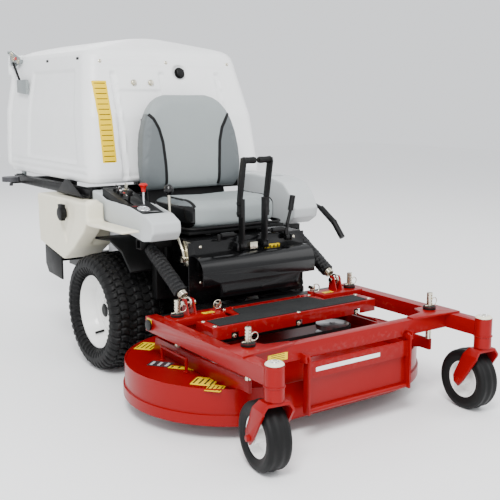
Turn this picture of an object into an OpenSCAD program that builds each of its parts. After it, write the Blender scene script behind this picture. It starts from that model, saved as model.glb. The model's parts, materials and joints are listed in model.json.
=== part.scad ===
// Mid-mount rear-collect zero-turn lawn mower, built from separate parts.
// Millimetres. +Z up, front towards -Y, +X on the operator's left. The origin is on the
// ground, under the middle of the machine's length and width.

/* [Drive wheels] */
// Outer radius of a drive tyre
drive_r = 254; // [246:1:258]
// Width of a drive tyre
drive_w = 250; // [230:1:254]
// Radius of the drive rim where the tyre sits
drive_rim_r = 160; // [150:1:166]
// Distance from the middle plane to the middle of a drive tyre
drive_x = 383; // [380:1:386]
// Distance of the drive axle behind the origin
axle_y = 120; // [116:1:124]

/* [Front casters] */
// Distance from the middle plane to a caster's swivel axis
caster_x = 486; // [482:1:488]
// Swivel axis along the machine
caster_y = -1197; // [-1210:1:-1190]
// Radius of a caster tyre
caster_r = 114.5; // [108:0.5:116]
// Width of a caster tyre
caster_w = 86; // [76:1:88]
// Distance from the swivel axis back to the wheel's axle
caster_trail = 62; // [55:1:66]
// Angles at which the right and left casters stand, seen from above
caster_swivel = [8, 5]; // [0:1:20]

/* [Tail wheel] */
// Radius of the tail tyre
tail_r = 140; // [130:1:142]
// Width of the tail tyre
tail_w = 96; // [80:1:100]
// Swivel axis of the tail wheel along the machine
tail_y = 800; // [780:1:820]
// Distance from the swivel axis back to the tail wheel's axle
tail_trail = 70; // [60:1:74]

/* [Deck] */
// Radius of the deck's round ends
deck_r = 408; // [400:1:409]
// Distance from the middle plane to the centre of a round end
deck_end_x = 222; // [216:1:224]
// Centre of the deck along the machine
deck_y = -556; // [-562:1:-555]
// Height of the deck's lower edge above the ground
deck_low = 57; // [50:1:60]
// Height of the deck's rim above the ground
deck_rim = 190; // [186:1:192]
// Distance from the middle plane to a blade's spindle
spindle_x = 300; // [298:1:302]
// Length of a cutting blade
blade_len = 618; // [600:1:620]

/* [Carrier frame] */
// Distance from the middle plane to a side rail's middle
rail_x = 486; // [484:1:488]
// Width and height of the side rail tube
rail_size = [50, 56]; // [40:1:60]
// Height of the rail tube's underside
rail_low = 298; // [298:1:300]
// Pivot axis of the carrier: along the machine, and height
pivot_y = -440; // [-444:1:-438]
pivot_z = 325; // [323:1:327]

/* [Hopper] */
// Half width of the hopper at its floor, its middle and its top
hopper_half = [457, 442, 398]; // [380:1:460]
// Front face of the hopper at its floor, its middle and its top
hopper_front = [172, 240, 300]; // [170:1:310]
// Rear edge of the hopper's body
hopper_rear = 1192; // [1186:1:1194]
// Height of the hopper's floor
hopper_low = 800; // [798:1:804]
// Height of the hopper's shoulder and of its crown
hopper_high = [1396, 1452]; // [1380:1:1460]
// Rear face of the door, the rearmost point of the machine
door_rear = 1252; // [1240:1:1260]

/* [Seat] */
// Half width of the seat cushion
seat_half = 246; // [230:1:250]
// Height of the seat cushion's underside and top
seat_z = [634, 752]; // [620:1:760]

/* [Hidden] */

$fn = 64;
fit = 0.05;                 // radial clearance of a running fit
red = "#a8101a";
black = "#1c1c1e";
zinc = "#c4bfa6";
white = "#ecebe6";
cream = "#e6e1d2";
grey = "#c3c7c8";

sides = [-1, 1];

// frame tubes of the tractor
main_tube = 50;
main_x = 195;               // middle of a main rail
main_low = 300;
main_front = pivot_y + 25;
main_rear = 1000;
seam = 0.2;                 // gap that keeps uprights and posts as solids of their own
hitch_t = 10;                // towing plate and its hole
hitch_hole_r = 9.5;
hitch_hole_y = 1030;
pan_z = 606;                // top of the upper cross tube, underside of the seat pan
bulk_y = -363;              // face of the bulkhead panel

// carrier frame places
pivot_pin_r = 12;
cross_front = [-1036, -996];
cross_rear = [-545, -505];
rear_cross_z = [290, 340];
post_r = 11;
post_x = 431;
post_y = [-977, -512];
collar_top = 372;
hitch_x = 231;
hitch_y = -488;
clevis_x = 368;
clevis_z = 401;
clevis_bolt_r = 6;
gate_pin = [-1052, 303];
gate_pin_r = 7;
tray_pin = [-488, 346];
tray_pin_r = 5;

// deck places
sheet = 5;
deck_top = 180;
spindle_r = 12.5;
pulley_r = 70;
belt_z = [214, 230];

// casters
stem_r = 16;
tube_r = 32.25;
tube_z = [252, 364];
axle_bolt_r = 8;

// control pivots
motion_pivot = [-390, 575];
motion_x = 57;
motion_pin_r = 8;
ball_pivot = [-320, 535];
ball_x = -284;
brake_pivot = [-385, 590];
brake_x = 184;
dump_pivot = [150, 716];
dump_x = 452;
small_pin_r = 6;

// hopper
hopper_pivot = [1150, 770];
hopper_pin_r = 10;
door_pivot = [1203, 1404];
door_pin_r = 8;
chute_half = 150;
chute_y = [180, 290];

// the control panel's slope: height of its top face at a place along the machine
panel_y = [-240, 130];
panel_z = [704, 792];
function panel_top(y) = panel_z[0]
    + (y - panel_y[0]) * (panel_z[1] - panel_z[0]) / (panel_y[1] - panel_y[0]);
panel_tilt = atan((panel_z[1] - panel_z[0]) / (panel_y[1] - panel_y[0]));

// ---------- shared shapes ----------

// a rod along X between two places
module rod_x(r, x0, x1, y, z) {
    translate([min(x0, x1), y, z]) rotate([0, 90, 0]) cylinder(r = r, h = abs(x1 - x0));
}

// a box given by its lowest and highest corners
module span(low, high) {
    translate(low) cube(high - low);
}

// an outline in Y and Z carried along X
module side_plate(x0, x1, outline) {
    translate([min(x0, x1), 0, 0])
        rotate([90, 0, 90])
            linear_extrude(abs(x1 - x0)) polygon(outline);
}

// a rod from point a to point b
module rod(a, b, r) {
    d = b - a;
    translate(a)
        rotate([0, acos(d[2] / norm(d)), atan2(d[1], d[0])])
            cylinder(r = r, h = norm(d));
}

// a rod through a list of points, with a slightly fuller ball at each bend
module bent_rod(points, r) {
    for (i = [0 : len(points) - 2]) rod(points[i], points[i + 1], r);
    for (i = [1 : len(points) - 2]) translate(points[i]) sphere(r = r * 1.1);
}

// hex head with a washer, its shank side facing down
module hex_bolt(r) {
    cylinder(r = r * 2.1, h = r * 0.4);
    translate([0, 0, r * 0.4]) cylinder(r = r * 1.8, h = r * 1.2, $fn = 6);
}

// rectangular tube along Y
module tube_y(x, y0, y1, z0, w, h, wall = 4) {
    difference() {
        span([x - w / 2, y0, z0], [x + w / 2, y1, z0 + h]);
        span([x - w / 2 + wall, y0 - 1, z0 + wall], [x + w / 2 - wall, y1 + 1, z0 + h - wall]);
    }
}

// rectangular tube along X, symmetric about the middle plane
module tube_x(half, y0, y1, z0, z1, wall = 4) {
    difference() {
        span([-half, y0, z0], [half, y1, z1]);
        span([-half - 1, y0 + wall, z0 + wall], [half + 1, y1 - wall, z1 - wall]);
    }
}

// pneumatic tyre about the X axis, centred on the origin
module tyre(r, w, bead_r) {
    h = w / 2;
    rotate([0, 90, 0])
        rotate_extrude($fn = 96)
            polygon([
                [bead_r, -h * 0.76], [bead_r + 14, -h * 0.92], [(r + bead_r) / 2, -h],
                [r - h * 0.17, -h * 0.95], [r - h * 0.05, -h * 0.82], [r, -h * 0.5],
                [r, h * 0.5], [r - h * 0.05, h * 0.82], [r - h * 0.17, h * 0.95],
                [(r + bead_r) / 2, h], [bead_r + 14, h * 0.92], [bead_r, h * 0.76]
            ]);
}

// pressed steel rim about the X axis with its dish towards +X
module rim(bead_r, w, hub_r, bore_r) {
    h = w / 2 * 0.76;
    t = 4;
    rotate([0, 90, 0])
        rotate_extrude($fn = 96)
            polygon([
                [bead_r, -h], [bead_r, h], [bead_r - t * 2, h], [bead_r * 0.86, h * 0.5],
                [bead_r * 0.82, h * 0.34], [hub_r * 1.3, h * 0.24], [hub_r, h * 0.34],
                [bore_r, h * 0.34], [bore_r, h * 0.34 - t * 2.5], [hub_r * 1.25, h * 0.12],
                [bead_r * 0.8, h * 0.2], [bead_r * 0.84, -h]
            ]);
}

// ---------- tractor frame and body ----------

module main_frame() {
    color(black) {
        for (s = sides) {
            tube_y(s * main_x, main_front, main_rear, main_low, main_tube, main_tube);
            // upright in front of the tyre that carries the console and the spring
            span([s < 0 ? -340 : 180, -190, main_low + main_tube + seam], [s < 0 ? -180 : 340, -150, 385]);
            span([s < 0 ? -340 : 300, -190, 385], [s < 0 ? -300 : 340, -150, 567]);
            // plate that holds the wheel motor
            span([s < 0 ? -220 : 212, axle_y - 70, 186], [s < 0 ? -212 : 220, axle_y + 70, main_low]);
            // posts that carry the hopper frame
            for (y = [300, 960])
                span([s * main_x - 20, y, main_low + main_tube + seam], [s * main_x + 20, y + 40, 738]);
            // carrier pivot pin with its head
            rod_x(pivot_pin_r, s * 440, s * 514, pivot_y, pivot_z);
            rod_x(21, s * 513, s * 519, pivot_y, pivot_z);
        }
        // front cross tube on the pivot axis
        span([-455, pivot_y - 25, main_low], [455, pivot_y + 25, main_low + main_tube]);
        // upper cross tube under the consoles
        tube_x(410, -190, -150, 566, pan_z);
        // engine bed and tail cross member with the swivel tube
        span([-main_x, 310, main_low + 44], [main_x, 720, main_low + main_tube]);
        difference() {
            union() {
                tube_x(main_x, tail_y - 25, tail_y + 25, main_low, main_low + main_tube);
                translate([0, tail_y, 298]) cylinder(r = 34, h = 104);
            }
            translate([0, tail_y, 290]) cylinder(r = 26, h = 120);
        }
        // swivel bushes
        for (z = [298, 382]) translate([0, tail_y, z]) bush(26, stem_r + fit, 20);
        tube_x(main_x, main_rear - 40, main_rear, main_low, main_low + main_tube);
        // towing plate
        difference() {
            span([-60, main_rear - 6, main_low], [60, main_rear + 56, main_low + hitch_t]);
            translate([0, hitch_hole_y, main_low - 1]) cylinder(r = hitch_hole_r, h = hitch_t + 2);
        }
    }
}

module bush(outer, inner, h) {
    difference() {
        cylinder(r = outer, h = h);
        translate([0, 0, -1]) cylinder(r = inner, h = h + 2);
    }
}

module bulkhead() {
    color(black) {
        // front panel, seat pan and side returns
        span([-290, bulk_y - 2, main_low + main_tube], [290, bulk_y + 2, pan_z]);
        span([-268, bulk_y - 2, pan_z], [268, 62, pan_z + 6]);
        for (s = sides) {
            span([s * 264 - 3, bulk_y, 500], [s * 264 + 3, -192, pan_z]);
            // seat runners
            span([s * 130 - 12, -260, pan_z + 6], [s * 130 + 12, 40, pan_z + 15]);
            // motion lever pivots
            side_plate(s * 72, s * 80, [[bulk_y, 556], [bulk_y, 594], [-400, 590], [-400, 560]]);
            rod_x(motion_pin_r, s * 46, s * 74, motion_pivot[0], motion_pivot[1]);
        }
        // latch ledge and cover boxes between the pivots
        span([-42, -384, 556], [42, bulk_y, 594]);
        span([-250, -376, 470], [-110, bulk_y, 545]);
        // brake lever pivot
        side_plate(brake_x + 14, brake_x + 20, [[bulk_y, 575], [bulk_y, 605], [-400, 602], [-400, 578]]);
        rod_x(small_pin_r, brake_x - 14, brake_x + 16, brake_pivot[0], brake_pivot[1]);
    }
}

// quarter-round shield over the front of the bulkhead, with its bolted strip
module leg_shield() {
    r = 62;
    c = [-395, 492];
    color(black) {
        difference() {
            rod_x(r, -280, 280, c[0], c[1]);
            rod_x(r - 3, -281, 281, c[0], c[1]);
            span([-281, c[0], 400], [281, c[0] + 80, 600]);
            span([-281, c[0] - 80, 400], [281, c[0] + 80, c[1]]);
        }
        span([-280, c[0] - 1, c[1] + r - 3], [280, bulk_y - 2, c[1] + r]);
        span([-280, c[0] - r, 446], [280, c[0] - r + 3, c[1] + 1]);
        span([-200, c[0] - r - 2, 392], [200, c[0] - r + 3, 452]);
        for (x = [-180, 0, 180])
            translate([x, c[0] - r - 2, 412]) rotate([90, 0, 0]) hex_bolt(4);
    }
}

module engine_block() {
    color("silver") {
        span([-130, 420, 350], [130, 700, 520]);
        for (s = sides) {
            // finned cylinders
            for (i = [0 : 4])
                span([min(s * 120, s * (150 + i * 12)), 450, 370 + i * 26],
                     [max(s * 120, s * (150 + i * 12)), 560, 382 + i * 26]);
            span([min(s * 120, s * 185), 470, 366], [max(s * 120, s * 185), 540, 490]);
        }
        translate([0, 560, 520]) cylinder(r = 90, h = 30);
    }
}

module engine_cowl() {
    color(black) difference() {
        union() {
            span([-190, 400, 552], [190, 720, 640]);
            translate([0, 560, 640]) cylinder(r = 150, h = 50);
            span([-120, 380, 640], [120, 430, 716]);
        }
        translate([0, 560, 600]) cylinder(r = 120, h = 100);
        span([-178, 412, 551], [178, 708, 601]);
    }
}

module muffler() {
    color("silver") {
        rod_x(55, -170, 170, 790, 480);
        for (s = sides) {
            rod([s * 100, 790, 450], [s * 100, 720, 430], 14);
            rod([s * 100, 722, 430], [s * 100, 701, 430], 14);
        }
    }
}

// wheel motors beside the main rails and pumps behind the engine bed
module hydro_units() {
    color("dimgray") for (s = sides) {
        difference() {
            union() {
                rod_x(62, s * 220, s * 290, axle_y, drive_r);
                rod_x(34, s * 290, s * 390, axle_y, drive_r);
                span([min(s * 222, s * 270), axle_y - 30, drive_r + 50],
                     [max(s * 222, s * 270), axle_y + 30, drive_r + 84]);
            }
            rod_x(20 + fit, s * 300, s * 392, axle_y, drive_r);
        }
        span([s * 85 - 50, 312, 352], [s * 85 + 50, 396, 470]);
        translate([s * 85, 350, 470]) cylinder(r = 32, h = 22);
    }
}

module fuel_tank() {
    color(cream) {
        outline = [
            [222, 733], [222, 528], [300, 484], [346, 456], [628, 506], [637, 733]
        ];
        side_plate(-520, -342, outline);
        side_plate(-520, -436, [[82, 733], [82, 655], [130, 600], [223, 532], [223, 733]]);
        // forward lip above the tyre
        side_plate(-520, -436, [[-248, 657], [-248, 645], [84, 638], [84, 657]]);
        translate([-478, 110, 732]) cylinder(r = 26, h = 14);
        // seat of the filler cap on the outer face
        rod_x(30, -526, -515, 300, 672);
    }
}

module fuel_cap() {
    color(black) {
        rod_x(27, -552, -526.4, 300, 672);
        side_plate(-548, -530, [[286, 640], [280, 712], [322, 712], [316, 640]]);
    }
}

module right_console() {
    wall = 5;
    outline = [
        [216, 640], [216, 776], [150, 770], [80, 748], [-130, 740], [-270, 716], [-326, 690],
        [-330, 650], [-306, 616], [-250, 606], [84, 652]
    ];
    color(grey) difference() {
        side_plate(-430, -298, outline);
        // hollow for the control panel, open upwards
        side_plate(-422, -304, [[panel_y[0] - 4, 690], [panel_y[1] + 4, 700],
            [panel_y[1] + 4, 800], [panel_y[0] - 4, 800]]);
        // hollow underside
        side_plate(-430 + wall, -298 - wall, [[-290, 600], [-290, 640], [60, 668], [60, 600]]);
    }
}

module left_fender() {
    outline = [
        [160, 640], [160, 820], [30, 826], [-120, 818], [-205, 800], [-262, 750], [-296, 690],
        [-290, 650], [-240, 618], [-190, 608], [84, 646]
    ];
    color(grey) difference() {
        side_plate(430, 298, outline);
        translate([366, -50, 752]) cylinder(r = 42, h = 90);
        side_plate(425, 303, [[-230, 600], [-230, 690], [100, 720], [100, 600]]);
    }
}

module control_panel() {
    color(black) difference() {
        side_plate(-420, -306, [
            [panel_y[0], 692], [panel_y[0], panel_z[0]], [panel_y[1], panel_z[1]], [panel_y[1], 702]
        ]);
        // bores of the key, the pull knob and the throttle slot
        panel_hole(-335, 78, small_pin_r + fit);
        translate([-340, -92, 690]) cylinder(r = 5 + fit, h = 90);
        panel_slot(-392, -60);
    }
    // gauge bezel and toggle switches
    color("silver") {
        panel_spot(-380, -165) cylinder(r = 26, h = 7);
        for (i = [0 : 2]) panel_spot(-385, 20 + i * 32) cylinder(r = 7, h = 12);
    }
}

// puts children on the sloped face of the control panel
module panel_spot(x, y) {
    translate([x, y, panel_top(y) - 1]) rotate([panel_tilt, 0, 0]) children();
}

module panel_hole(x, y, r) {
    panel_spot(x, y) translate([0, 0, -45]) cylinder(r = r, h = 60);
}

module panel_slot(x, y) {
    panel_spot(x, y) translate([-5, -40, -34]) cube([10, 80, 60]);
}

module ignition_key() {
    color("silver") panel_spot(-335, 78) {
        translate([0, 0, -40]) cylinder(r = small_pin_r, h = 44);
        translate([0, 0, 2]) cylinder(r = 11, h = 5);
        translate([-2, -12, 5]) cube([4, 24, 26]);
    }
}

module pull_knob() {
    color("crimson") {
        translate([-340, -92, 716]) cylinder(r = 5, h = 90);
        translate([-340, -92, 804]) cylinder(r1 = 12, r2 = 24, h = 12);
        translate([-340, -92, 816]) cylinder(r = 24, h = 10);
    }
}

module throttle_lever() {
    color(black) panel_spot(-392, -60) {
        translate([-3, -6, -28]) cube([6, 12, 62]);
        translate([-10, -9, 30]) cube([20, 18, 22]);
    }
}

module battery() {
    color(black) {
        span([330, 400, 445], [460, 570, 600]);
        for (y = [430, 540]) translate([350, y, 600]) cylinder(r = 8, h = 14);
        // tray bracket from the main rail
        span([main_x + 20, 440, 437], [462, 480, 445]);
        span([main_x + 20, 440, 350], [main_x + 25, 480, 445]);
        span([main_x, 440, 350], [main_x + 25, 480, 354]);
    }
}

// grass duct from the back of the deck up to the hopper's floor
module discharge_chute() {
    t = 4;
    color(black) difference() {
        union() {
            span([-chute_half, -105, 70], [chute_half, chute_y[1], 192]);
            span([-chute_half, chute_y[0], 70], [chute_half, chute_y[1], 794]);
        }
        span([-chute_half + t, -110, 70 + t], [chute_half - t, chute_y[1] - t, 192 - t]);
        span([-chute_half + t, chute_y[0] + t, 70 + t],
             [chute_half - t, chute_y[1] - t, 800]);
    }
}

// liners above the tyres and the low guards behind them
module wheel_guards() {
    color(black) for (s = sides) {
        side_plate(s * 252, s * 430, [
            [-140, 470], [-60, 545], [60, 580], [200, 570], [200, 560], [60, 570], [-52, 535], [-130, 462]
        ]);
        side_plate(s * 252, s * 258, [[-130, 470], [-60, 545], [60, 580], [200, 570], [200, 606], [-140, 606]]);
        side_plate(s * 500, s * 508, [[400, 456], [592, 490], [592, 400], [560, 362], [400, 352]]);
        span([min(s * 222, s * 508), 584, 400], [max(s * 222, s * 508), 592, 480]);
        span([min(s * 220, s * 228), 584, 330], [max(s * 220, s * 228), 592, 402]);
    }
}

// lift spring in its fabric sleeve: a plain closed body
spring_foot = [clevis_x, hitch_y, clevis_z];
spring_head = [clevis_x, -150, 598];
spring_dir = (spring_head - spring_foot) / norm(spring_head - spring_foot);
function on_spring(d) = spring_foot + spring_dir * d;
module lift_springs() {
    color(black) for (s = sides) mirror([s < 0 ? 1 : 0, 0, 0]) rod(on_spring(52), on_spring(336), 29);
}

// zinc pieces of the tractor: spring hooks, ball lever bracket, centre latch
module chassis_hardware() {
    color(zinc) {
        for (s = sides) mirror([s < 0 ? 1 : 0, 0, 0]) {
            translate(spring_foot) rotate([0, 90, 0])
                rotate_extrude() translate([21, 0]) circle(r = 4);
            rod(on_spring(20), on_spring(52), 5);
            rod(on_spring(336), on_spring(341.9), 5);
        }
        // bracket of the ball lever and its pin
        side_plate(ball_x + 8, ball_x + 12, [
            [bulk_y + 2, 505], [bulk_y + 2, 606], [-300, 606], [-290, 560], [-300, 505]
        ]);
        rod_x(small_pin_r, ball_x - 10, ball_x + 9, ball_pivot[0], ball_pivot[1]);
        rod_x(14, ball_x - 13, ball_x - 9.5, ball_pivot[0], ball_pivot[1]);
        // latch on the bulkhead
        span([-14, -398, 560], [22, -384, 588]);
    }
}

module lever_dampers() {
    color(black) for (s = sides) {
        rod_x(11, s * 96, s * 158, -396, 628);
        rod_x(4, s * 82, s * 172, -396, 628);
        span([s * 168 - 5, -402, 606], [s * 168 + 5, bulk_y - 2, 612]);
        span([s * 168 - 5, -402, 606], [s * 168 + 5, -390, 634]);
    }
}

// ---------- hopper frame ----------

module hopper_frame() {
    color(black) {
        for (s = sides) {
            span([s * 420 - 20, 216, 738], [s * 420 + 20, 1160, 776]);
            rod_x(hopper_pin_r, s * 384, s * 402, hopper_pivot[0], hopper_pivot[1]);
            // boss round the pin
            rod_x(19, s * 399, s * 430, hopper_pivot[0], hopper_pivot[1] - 8);
            // corner arm of the bumper disc
            span([min(s * 436, s * 509), 1004, 744], [max(s * 436, s * 509), 1036, 754]);
            // side bracket
            side_plate(s * 462, s * 467, [[240, 744], [520, 744], [430, 806], [380, 806]]);
            span([min(s * 438, s * 467), 250, 744], [max(s * 438, s * 467), 500, 749]);
        }
        span([-420, 300, 738], [420, 340, 776]);
        span([-420, 960, 738], [420, 1000, 776]);
        // pivot of the dump lever
        side_plate(435, 441, [[132, 700], [132, 732], [150, 742], [222, 768], [222, 744], [172, 706]]);
        rod_x(small_pin_r, 440, dump_x + 10, dump_pivot[0], dump_pivot[1]);
    }
}

module bumper_discs() {
    color("dimgray") for (s = sides) translate([s * 509, 1020, 754]) {
        cylinder(r = 44, h = 24);
        translate([0, 0, -22]) cylinder(r = 9, h = 12);
    }
}

// ---------- wheels ----------

module drive_tyre(s) {
    color(black) translate([s * drive_x, axle_y, drive_r]) tyre(drive_r, drive_w, drive_rim_r);
}

module drive_rim(s) {
    bolt_circle = 52;
    color(white) translate([s * drive_x, axle_y, drive_r]) mirror([s < 0 ? 1 : 0, 0, 0]) {
        rim(drive_rim_r, drive_w, 84, 30);
        // hub, axle shaft and lug bolts
        rod_x(34, 14, 48, 0, 0);
        rod_x(20, -74, 20, 0, 0);
        for (i = [0 : 3]) rotate([45 + 90 * i, 0, 0])
            translate([30, bolt_circle, 0]) rotate([0, 90, 0]) hex_bolt(6);
    }
}

// direction of a caster's wheel from its swivel axis
function caster_turn(s) = -caster_swivel[s < 0 ? 0 : 1];

module at_caster(s) {
    translate([s * caster_x, caster_y, 0]) rotate([0, 0, caster_turn(s)]) children();
}

// inverted U fork with bevelled shoulders, raked back to its axle, and its stem
module fork(half, trail, r, crown_z, stem_top) {
    t = 8;
    outer = half + t;
    low = r - 24;
    intersection() {
        rotate([90, 0, 0]) translate([0, 0, -trail - 50]) linear_extrude(trail + 100) polygon([
            [-outer, low], [-outer, crown_z - 24], [-outer + 18, crown_z], [outer - 18, crown_z],
            [outer, crown_z - 24], [outer, low], [half, low], [half, crown_z - 28],
            [half - 12, crown_z - t - 3], [-half + 12, crown_z - t - 3], [-half, crown_z - 28],
            [-half, low]
        ]);
        side_plate(-outer - 1, outer + 1, [
            [-28, crown_z + 1], [28, crown_z + 1], [trail + 26, r + 16], [trail + 22, r - 10],
            [trail - 2, r - 23], [trail - 26, r + 4], [-28, crown_z - 34]
        ]);
    }
    cylinder_z(stem_r, crown_z - 1, stem_top);
    rod_x(axle_bolt_r, -outer - 4, outer + 4, trail, r);
    for (s = sides) translate([s * (outer), trail, r]) rotate([0, s * 90, 0]) hex_bolt(axle_bolt_r * 0.8);
}

module cylinder_z(r, z0, z1) {
    translate([0, 0, z0]) cylinder(r = r, h = z1 - z0);
}

module caster_fork(s) {
    color(red) at_caster(s) fork(caster_w / 2 + 6, caster_trail, caster_r, 250, 358);
}

module caster_tyre(s) {
    color(black) at_caster(s) translate([0, caster_trail, caster_r]) tyre(caster_r, caster_w, 70);
}

module caster_rim(s) {
    color(white) at_caster(s) translate([0, caster_trail, caster_r]) small_rim(70, caster_w);
}

// two-sided rim with a long hub
module small_rim(bead_r, w) {
    h = w / 2 * 0.76;
    rotate([0, 90, 0]) rotate_extrude() polygon([
        [bead_r, -h], [bead_r, h], [bead_r - 6, h], [bead_r * 0.76, 6], [22, 5], [22, w / 2],
        [axle_bolt_r + fit, w / 2], [axle_bolt_r + fit, -w / 2], [22, -w / 2], [22, -5],
        [bead_r * 0.76, -6], [bead_r - 6, -h]
    ]);
}

module tail_fork() {
    color(black) translate([0, tail_y, 0]) fork(tail_w / 2 + 6, tail_trail, tail_r, 294, 398);
}

module tail_tyre() {
    color(black) translate([0, tail_y + tail_trail, tail_r]) tyre(tail_r, tail_w, 70);
}

module tail_rim() {
    color(white) translate([0, tail_y + tail_trail, tail_r]) small_rim(70, tail_w);
}

// ---------- carrier ----------

module carrier_frame() {
    rail_out = rail_x + rail_size[0] / 2;
    rail_in = rail_x - rail_size[0] / 2;
    rail_top = rail_low + rail_size[1];
    color(red) difference() {
        union() {
            for (s = sides) {
                tube_y(s * rail_x, caster_y, -410, rail_low, rail_size[0], rail_size[1]);
                rod_x(24, s * rail_in, s * rail_out, pivot_y, pivot_z);
                translate([s * caster_x, caster_y, tube_z[0]])
                    cylinder(r = tube_r, h = tube_z[1] - tube_z[0]);
                // front gusset round the height post
                translate([0, 0, rail_top]) linear_extrude(6) polygon([
                    [s * rail_out, -1062], [s * 282, -1036], [s * 282, -1004], [s * 372, -988],
                    [s * 396, -930], [s * rail_out, -930]
                ]);
                // rear plate with its folded front edge
                span([s < 0 ? -rail_in - 6 : 246, -556, rail_top], [s < 0 ? -246 : rail_in + 6, -474, rail_top + 6]);
                span([s < 0 ? -rail_in : 246, -560, 334], [s < 0 ? -246 : rail_in, -554, rail_top + 6]);
                span([s < 0 ? -252 : 246, -560, 334], [s < 0 ? -246 : 252, -474, rail_top + 6]);
                // web that joins the rear plate to the rear cross tube
                for (x = [260, 404])
                    span([s * x - 3, -545, rear_cross_z[1] - 2], [s * x + 3, -505, rail_top + 1]);
                // clevis of the lift spring
                for (x = [349, 381])
                    side_plate(s * x, s * (x + 6), [
                        [-520, rail_top + 5], [-500, 418], [-476, 418], [-468, rail_top + 5]
                    ]);
                // collars of the height posts
                for (y = post_y) translate([s * post_x, y, rail_top + 5]) cylinder(r = 25, h = collar_top - rail_top - 5);
                // ears beside the front gate and beside the tray's hinge
                side_plate(s * 248, s * 256, [[-1034, 286], [-1034, 320], [-1064, 318], [-1066, 290]]);
                rod_x(gate_pin_r, s * 230, s * 250, gate_pin[0], gate_pin[1]);
                side_plate(s * 168, s * 174, [[-507, 330], [-507, 343], [-496, 356], [-480, 356], [-480, 330]]);
                rod_x(tray_pin_r, s * 168, s * 190, tray_pin[0], tray_pin[1]);
                // hitch pin plate
                side_plate(s * (hitch_x - 4), s * (hitch_x + 16), [
                    [-500, 330], [-500, 366], [-476, 366], [-476, 330]
                ]);
            }
            tube_x(rail_in + 1, cross_front[0], cross_front[1], rail_low, rail_top);
            tube_x(rail_in + 1, cross_rear[0], cross_rear[1], rear_cross_z[0], rear_cross_z[1]);
            // shelf that carries the hinge ears behind the rear cross tube
            span([-rail_in, -510, 326], [rail_in, -474, 332]);
        }
        for (s = sides) {
            rod_x(pivot_pin_r + fit, s * (rail_in - 1), s * (rail_out + 1), pivot_y, pivot_z);
            translate([s * caster_x, caster_y, tube_z[0] - 1])
                cylinder(r = 26, h = tube_z[1] - tube_z[0] + 2);
            for (y = post_y) translate([s * post_x, y, rear_cross_z[0] - 1])
                cylinder(r = post_r + fit, h = 90);
            rod_x(clevis_bolt_r, s * 345, s * 391, hitch_y, clevis_z);
        }
    }
}

module caster_bearings() {
    color("goldenrod") for (s = sides, z = [tube_z[0], tube_z[1] - 22])
        translate([s * caster_x, caster_y, z]) bush(26, stem_r + fit, 20);
}

// zinc pieces of the carrier: cap discs, clevis bolts, ring pins
module carrier_hardware() {
    color(zinc) for (s = sides) {
        translate([s * caster_x, caster_y, tube_z[1]]) cylinder(r = 29, h = 3);
        rod_x(clevis_bolt_r, s * 344, s * 392, hitch_y, clevis_z);
        rod_x(10, s * 340, s * 345, hitch_y, clevis_z);
        rod_x(10, s * 391, s * 396, hitch_y, clevis_z);
        translate([s * hitch_x + s * 6, -506, 382]) rotate([-90, 0, 0]) cylinder(r = 7, h = 30);
        translate([s * hitch_x + s * 6, -488, 366]) cylinder(r = 5, h = 12);
        translate([s * (hitch_x + 17), -508, 382]) rotate([90, 0, 0])
            rotate_extrude() translate([17, 0]) circle(r = 2.2);
        translate([s * hitch_x + s * 6 - 2, -510, 382]) cube([4, 4, 17]);
    }
}

module foot_tray() {
    top = 350;
    outline = [
        [-398, -708], [398, -708], [398, -592], [226, -592], [226, -480], [-226, -480],
        [-226, -592], [-398, -592]
    ];
    color(red) difference() {
        union() {
            translate([0, 0, top]) linear_extrude(4) polygon(outline);
            span([-398, -708, 305], [398, -704, top + 4]);
            for (s = sides) {
                span([min(s * 394, s * 398), -708, 320], [max(s * 394, s * 398), -592, top + 4]);
                rod_x(9, s * 177, s * 200, tray_pin[0], tray_pin[1]);
            }
        }
        for (s = sides) rod_x(tray_pin_r + fit, s * 176, s * 201, tray_pin[0], tray_pin[1]);
        // notches in the front edge over the support bolts
        for (x = [-300, 0, 300]) span([x - 17, -709, 304], [x + 17, -703, 326]);
        // slots for the hinge ears
        for (s = sides) span([s * 171 - 6, -512, 349], [s * 171 + 6, -476, 355]);
    }
}

module foot_mat() {
    color("#3a3c3c") translate([0, 0, 354]) linear_extrude(3) polygon([
        [-363, -698], [363, -698], [363, -612], [206, -604], [188, -522], [-188, -522],
        [-206, -604], [-363, -612]
    ]);
}

module front_gate() {
    ear = 240;
    color(red) difference() {
        union() {
            for (s = sides) {
                side_plate(s * (ear - 4), s * (ear + 4), [
                    [-1070, 104], [-1070, 306], [-1060, 313], [-1052, 316], [-1045, 313], [-1039, 304],
                    [-1039, 104]
                ]);
                rod_x(12, s * (ear - 8), s * (ear + 6), gate_pin[0], gate_pin[1]);
            }
            rod_x(9, -ear, ear, -1054, 114);
            span([-ear, -1052, 226], [ear, -1048, 286]);
            span([-ear, -1052, 226], [ear, -1036, 230]);
            span([-ear, -1040, 118], [ear, -1036, 230]);
            span([-ear, -1054, 112], [ear, -1036, 120]);
        }
        for (s = sides) rod_x(gate_pin_r + fit, s * (ear - 14), s * (ear + 8), gate_pin[0], gate_pin[1]);
    }
}

// ---------- deck ----------

// deck outline grown by g: two round ends joined by a straight middle
module deck_outline(g = 0) {
    for (s = sides) translate([s * deck_end_x, deck_y]) circle(r = deck_r + g, $fn = 128);
    translate([-deck_end_x, deck_y - deck_r - g]) square([2 * deck_end_x, 2 * (deck_r + g)]);
}

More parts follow.
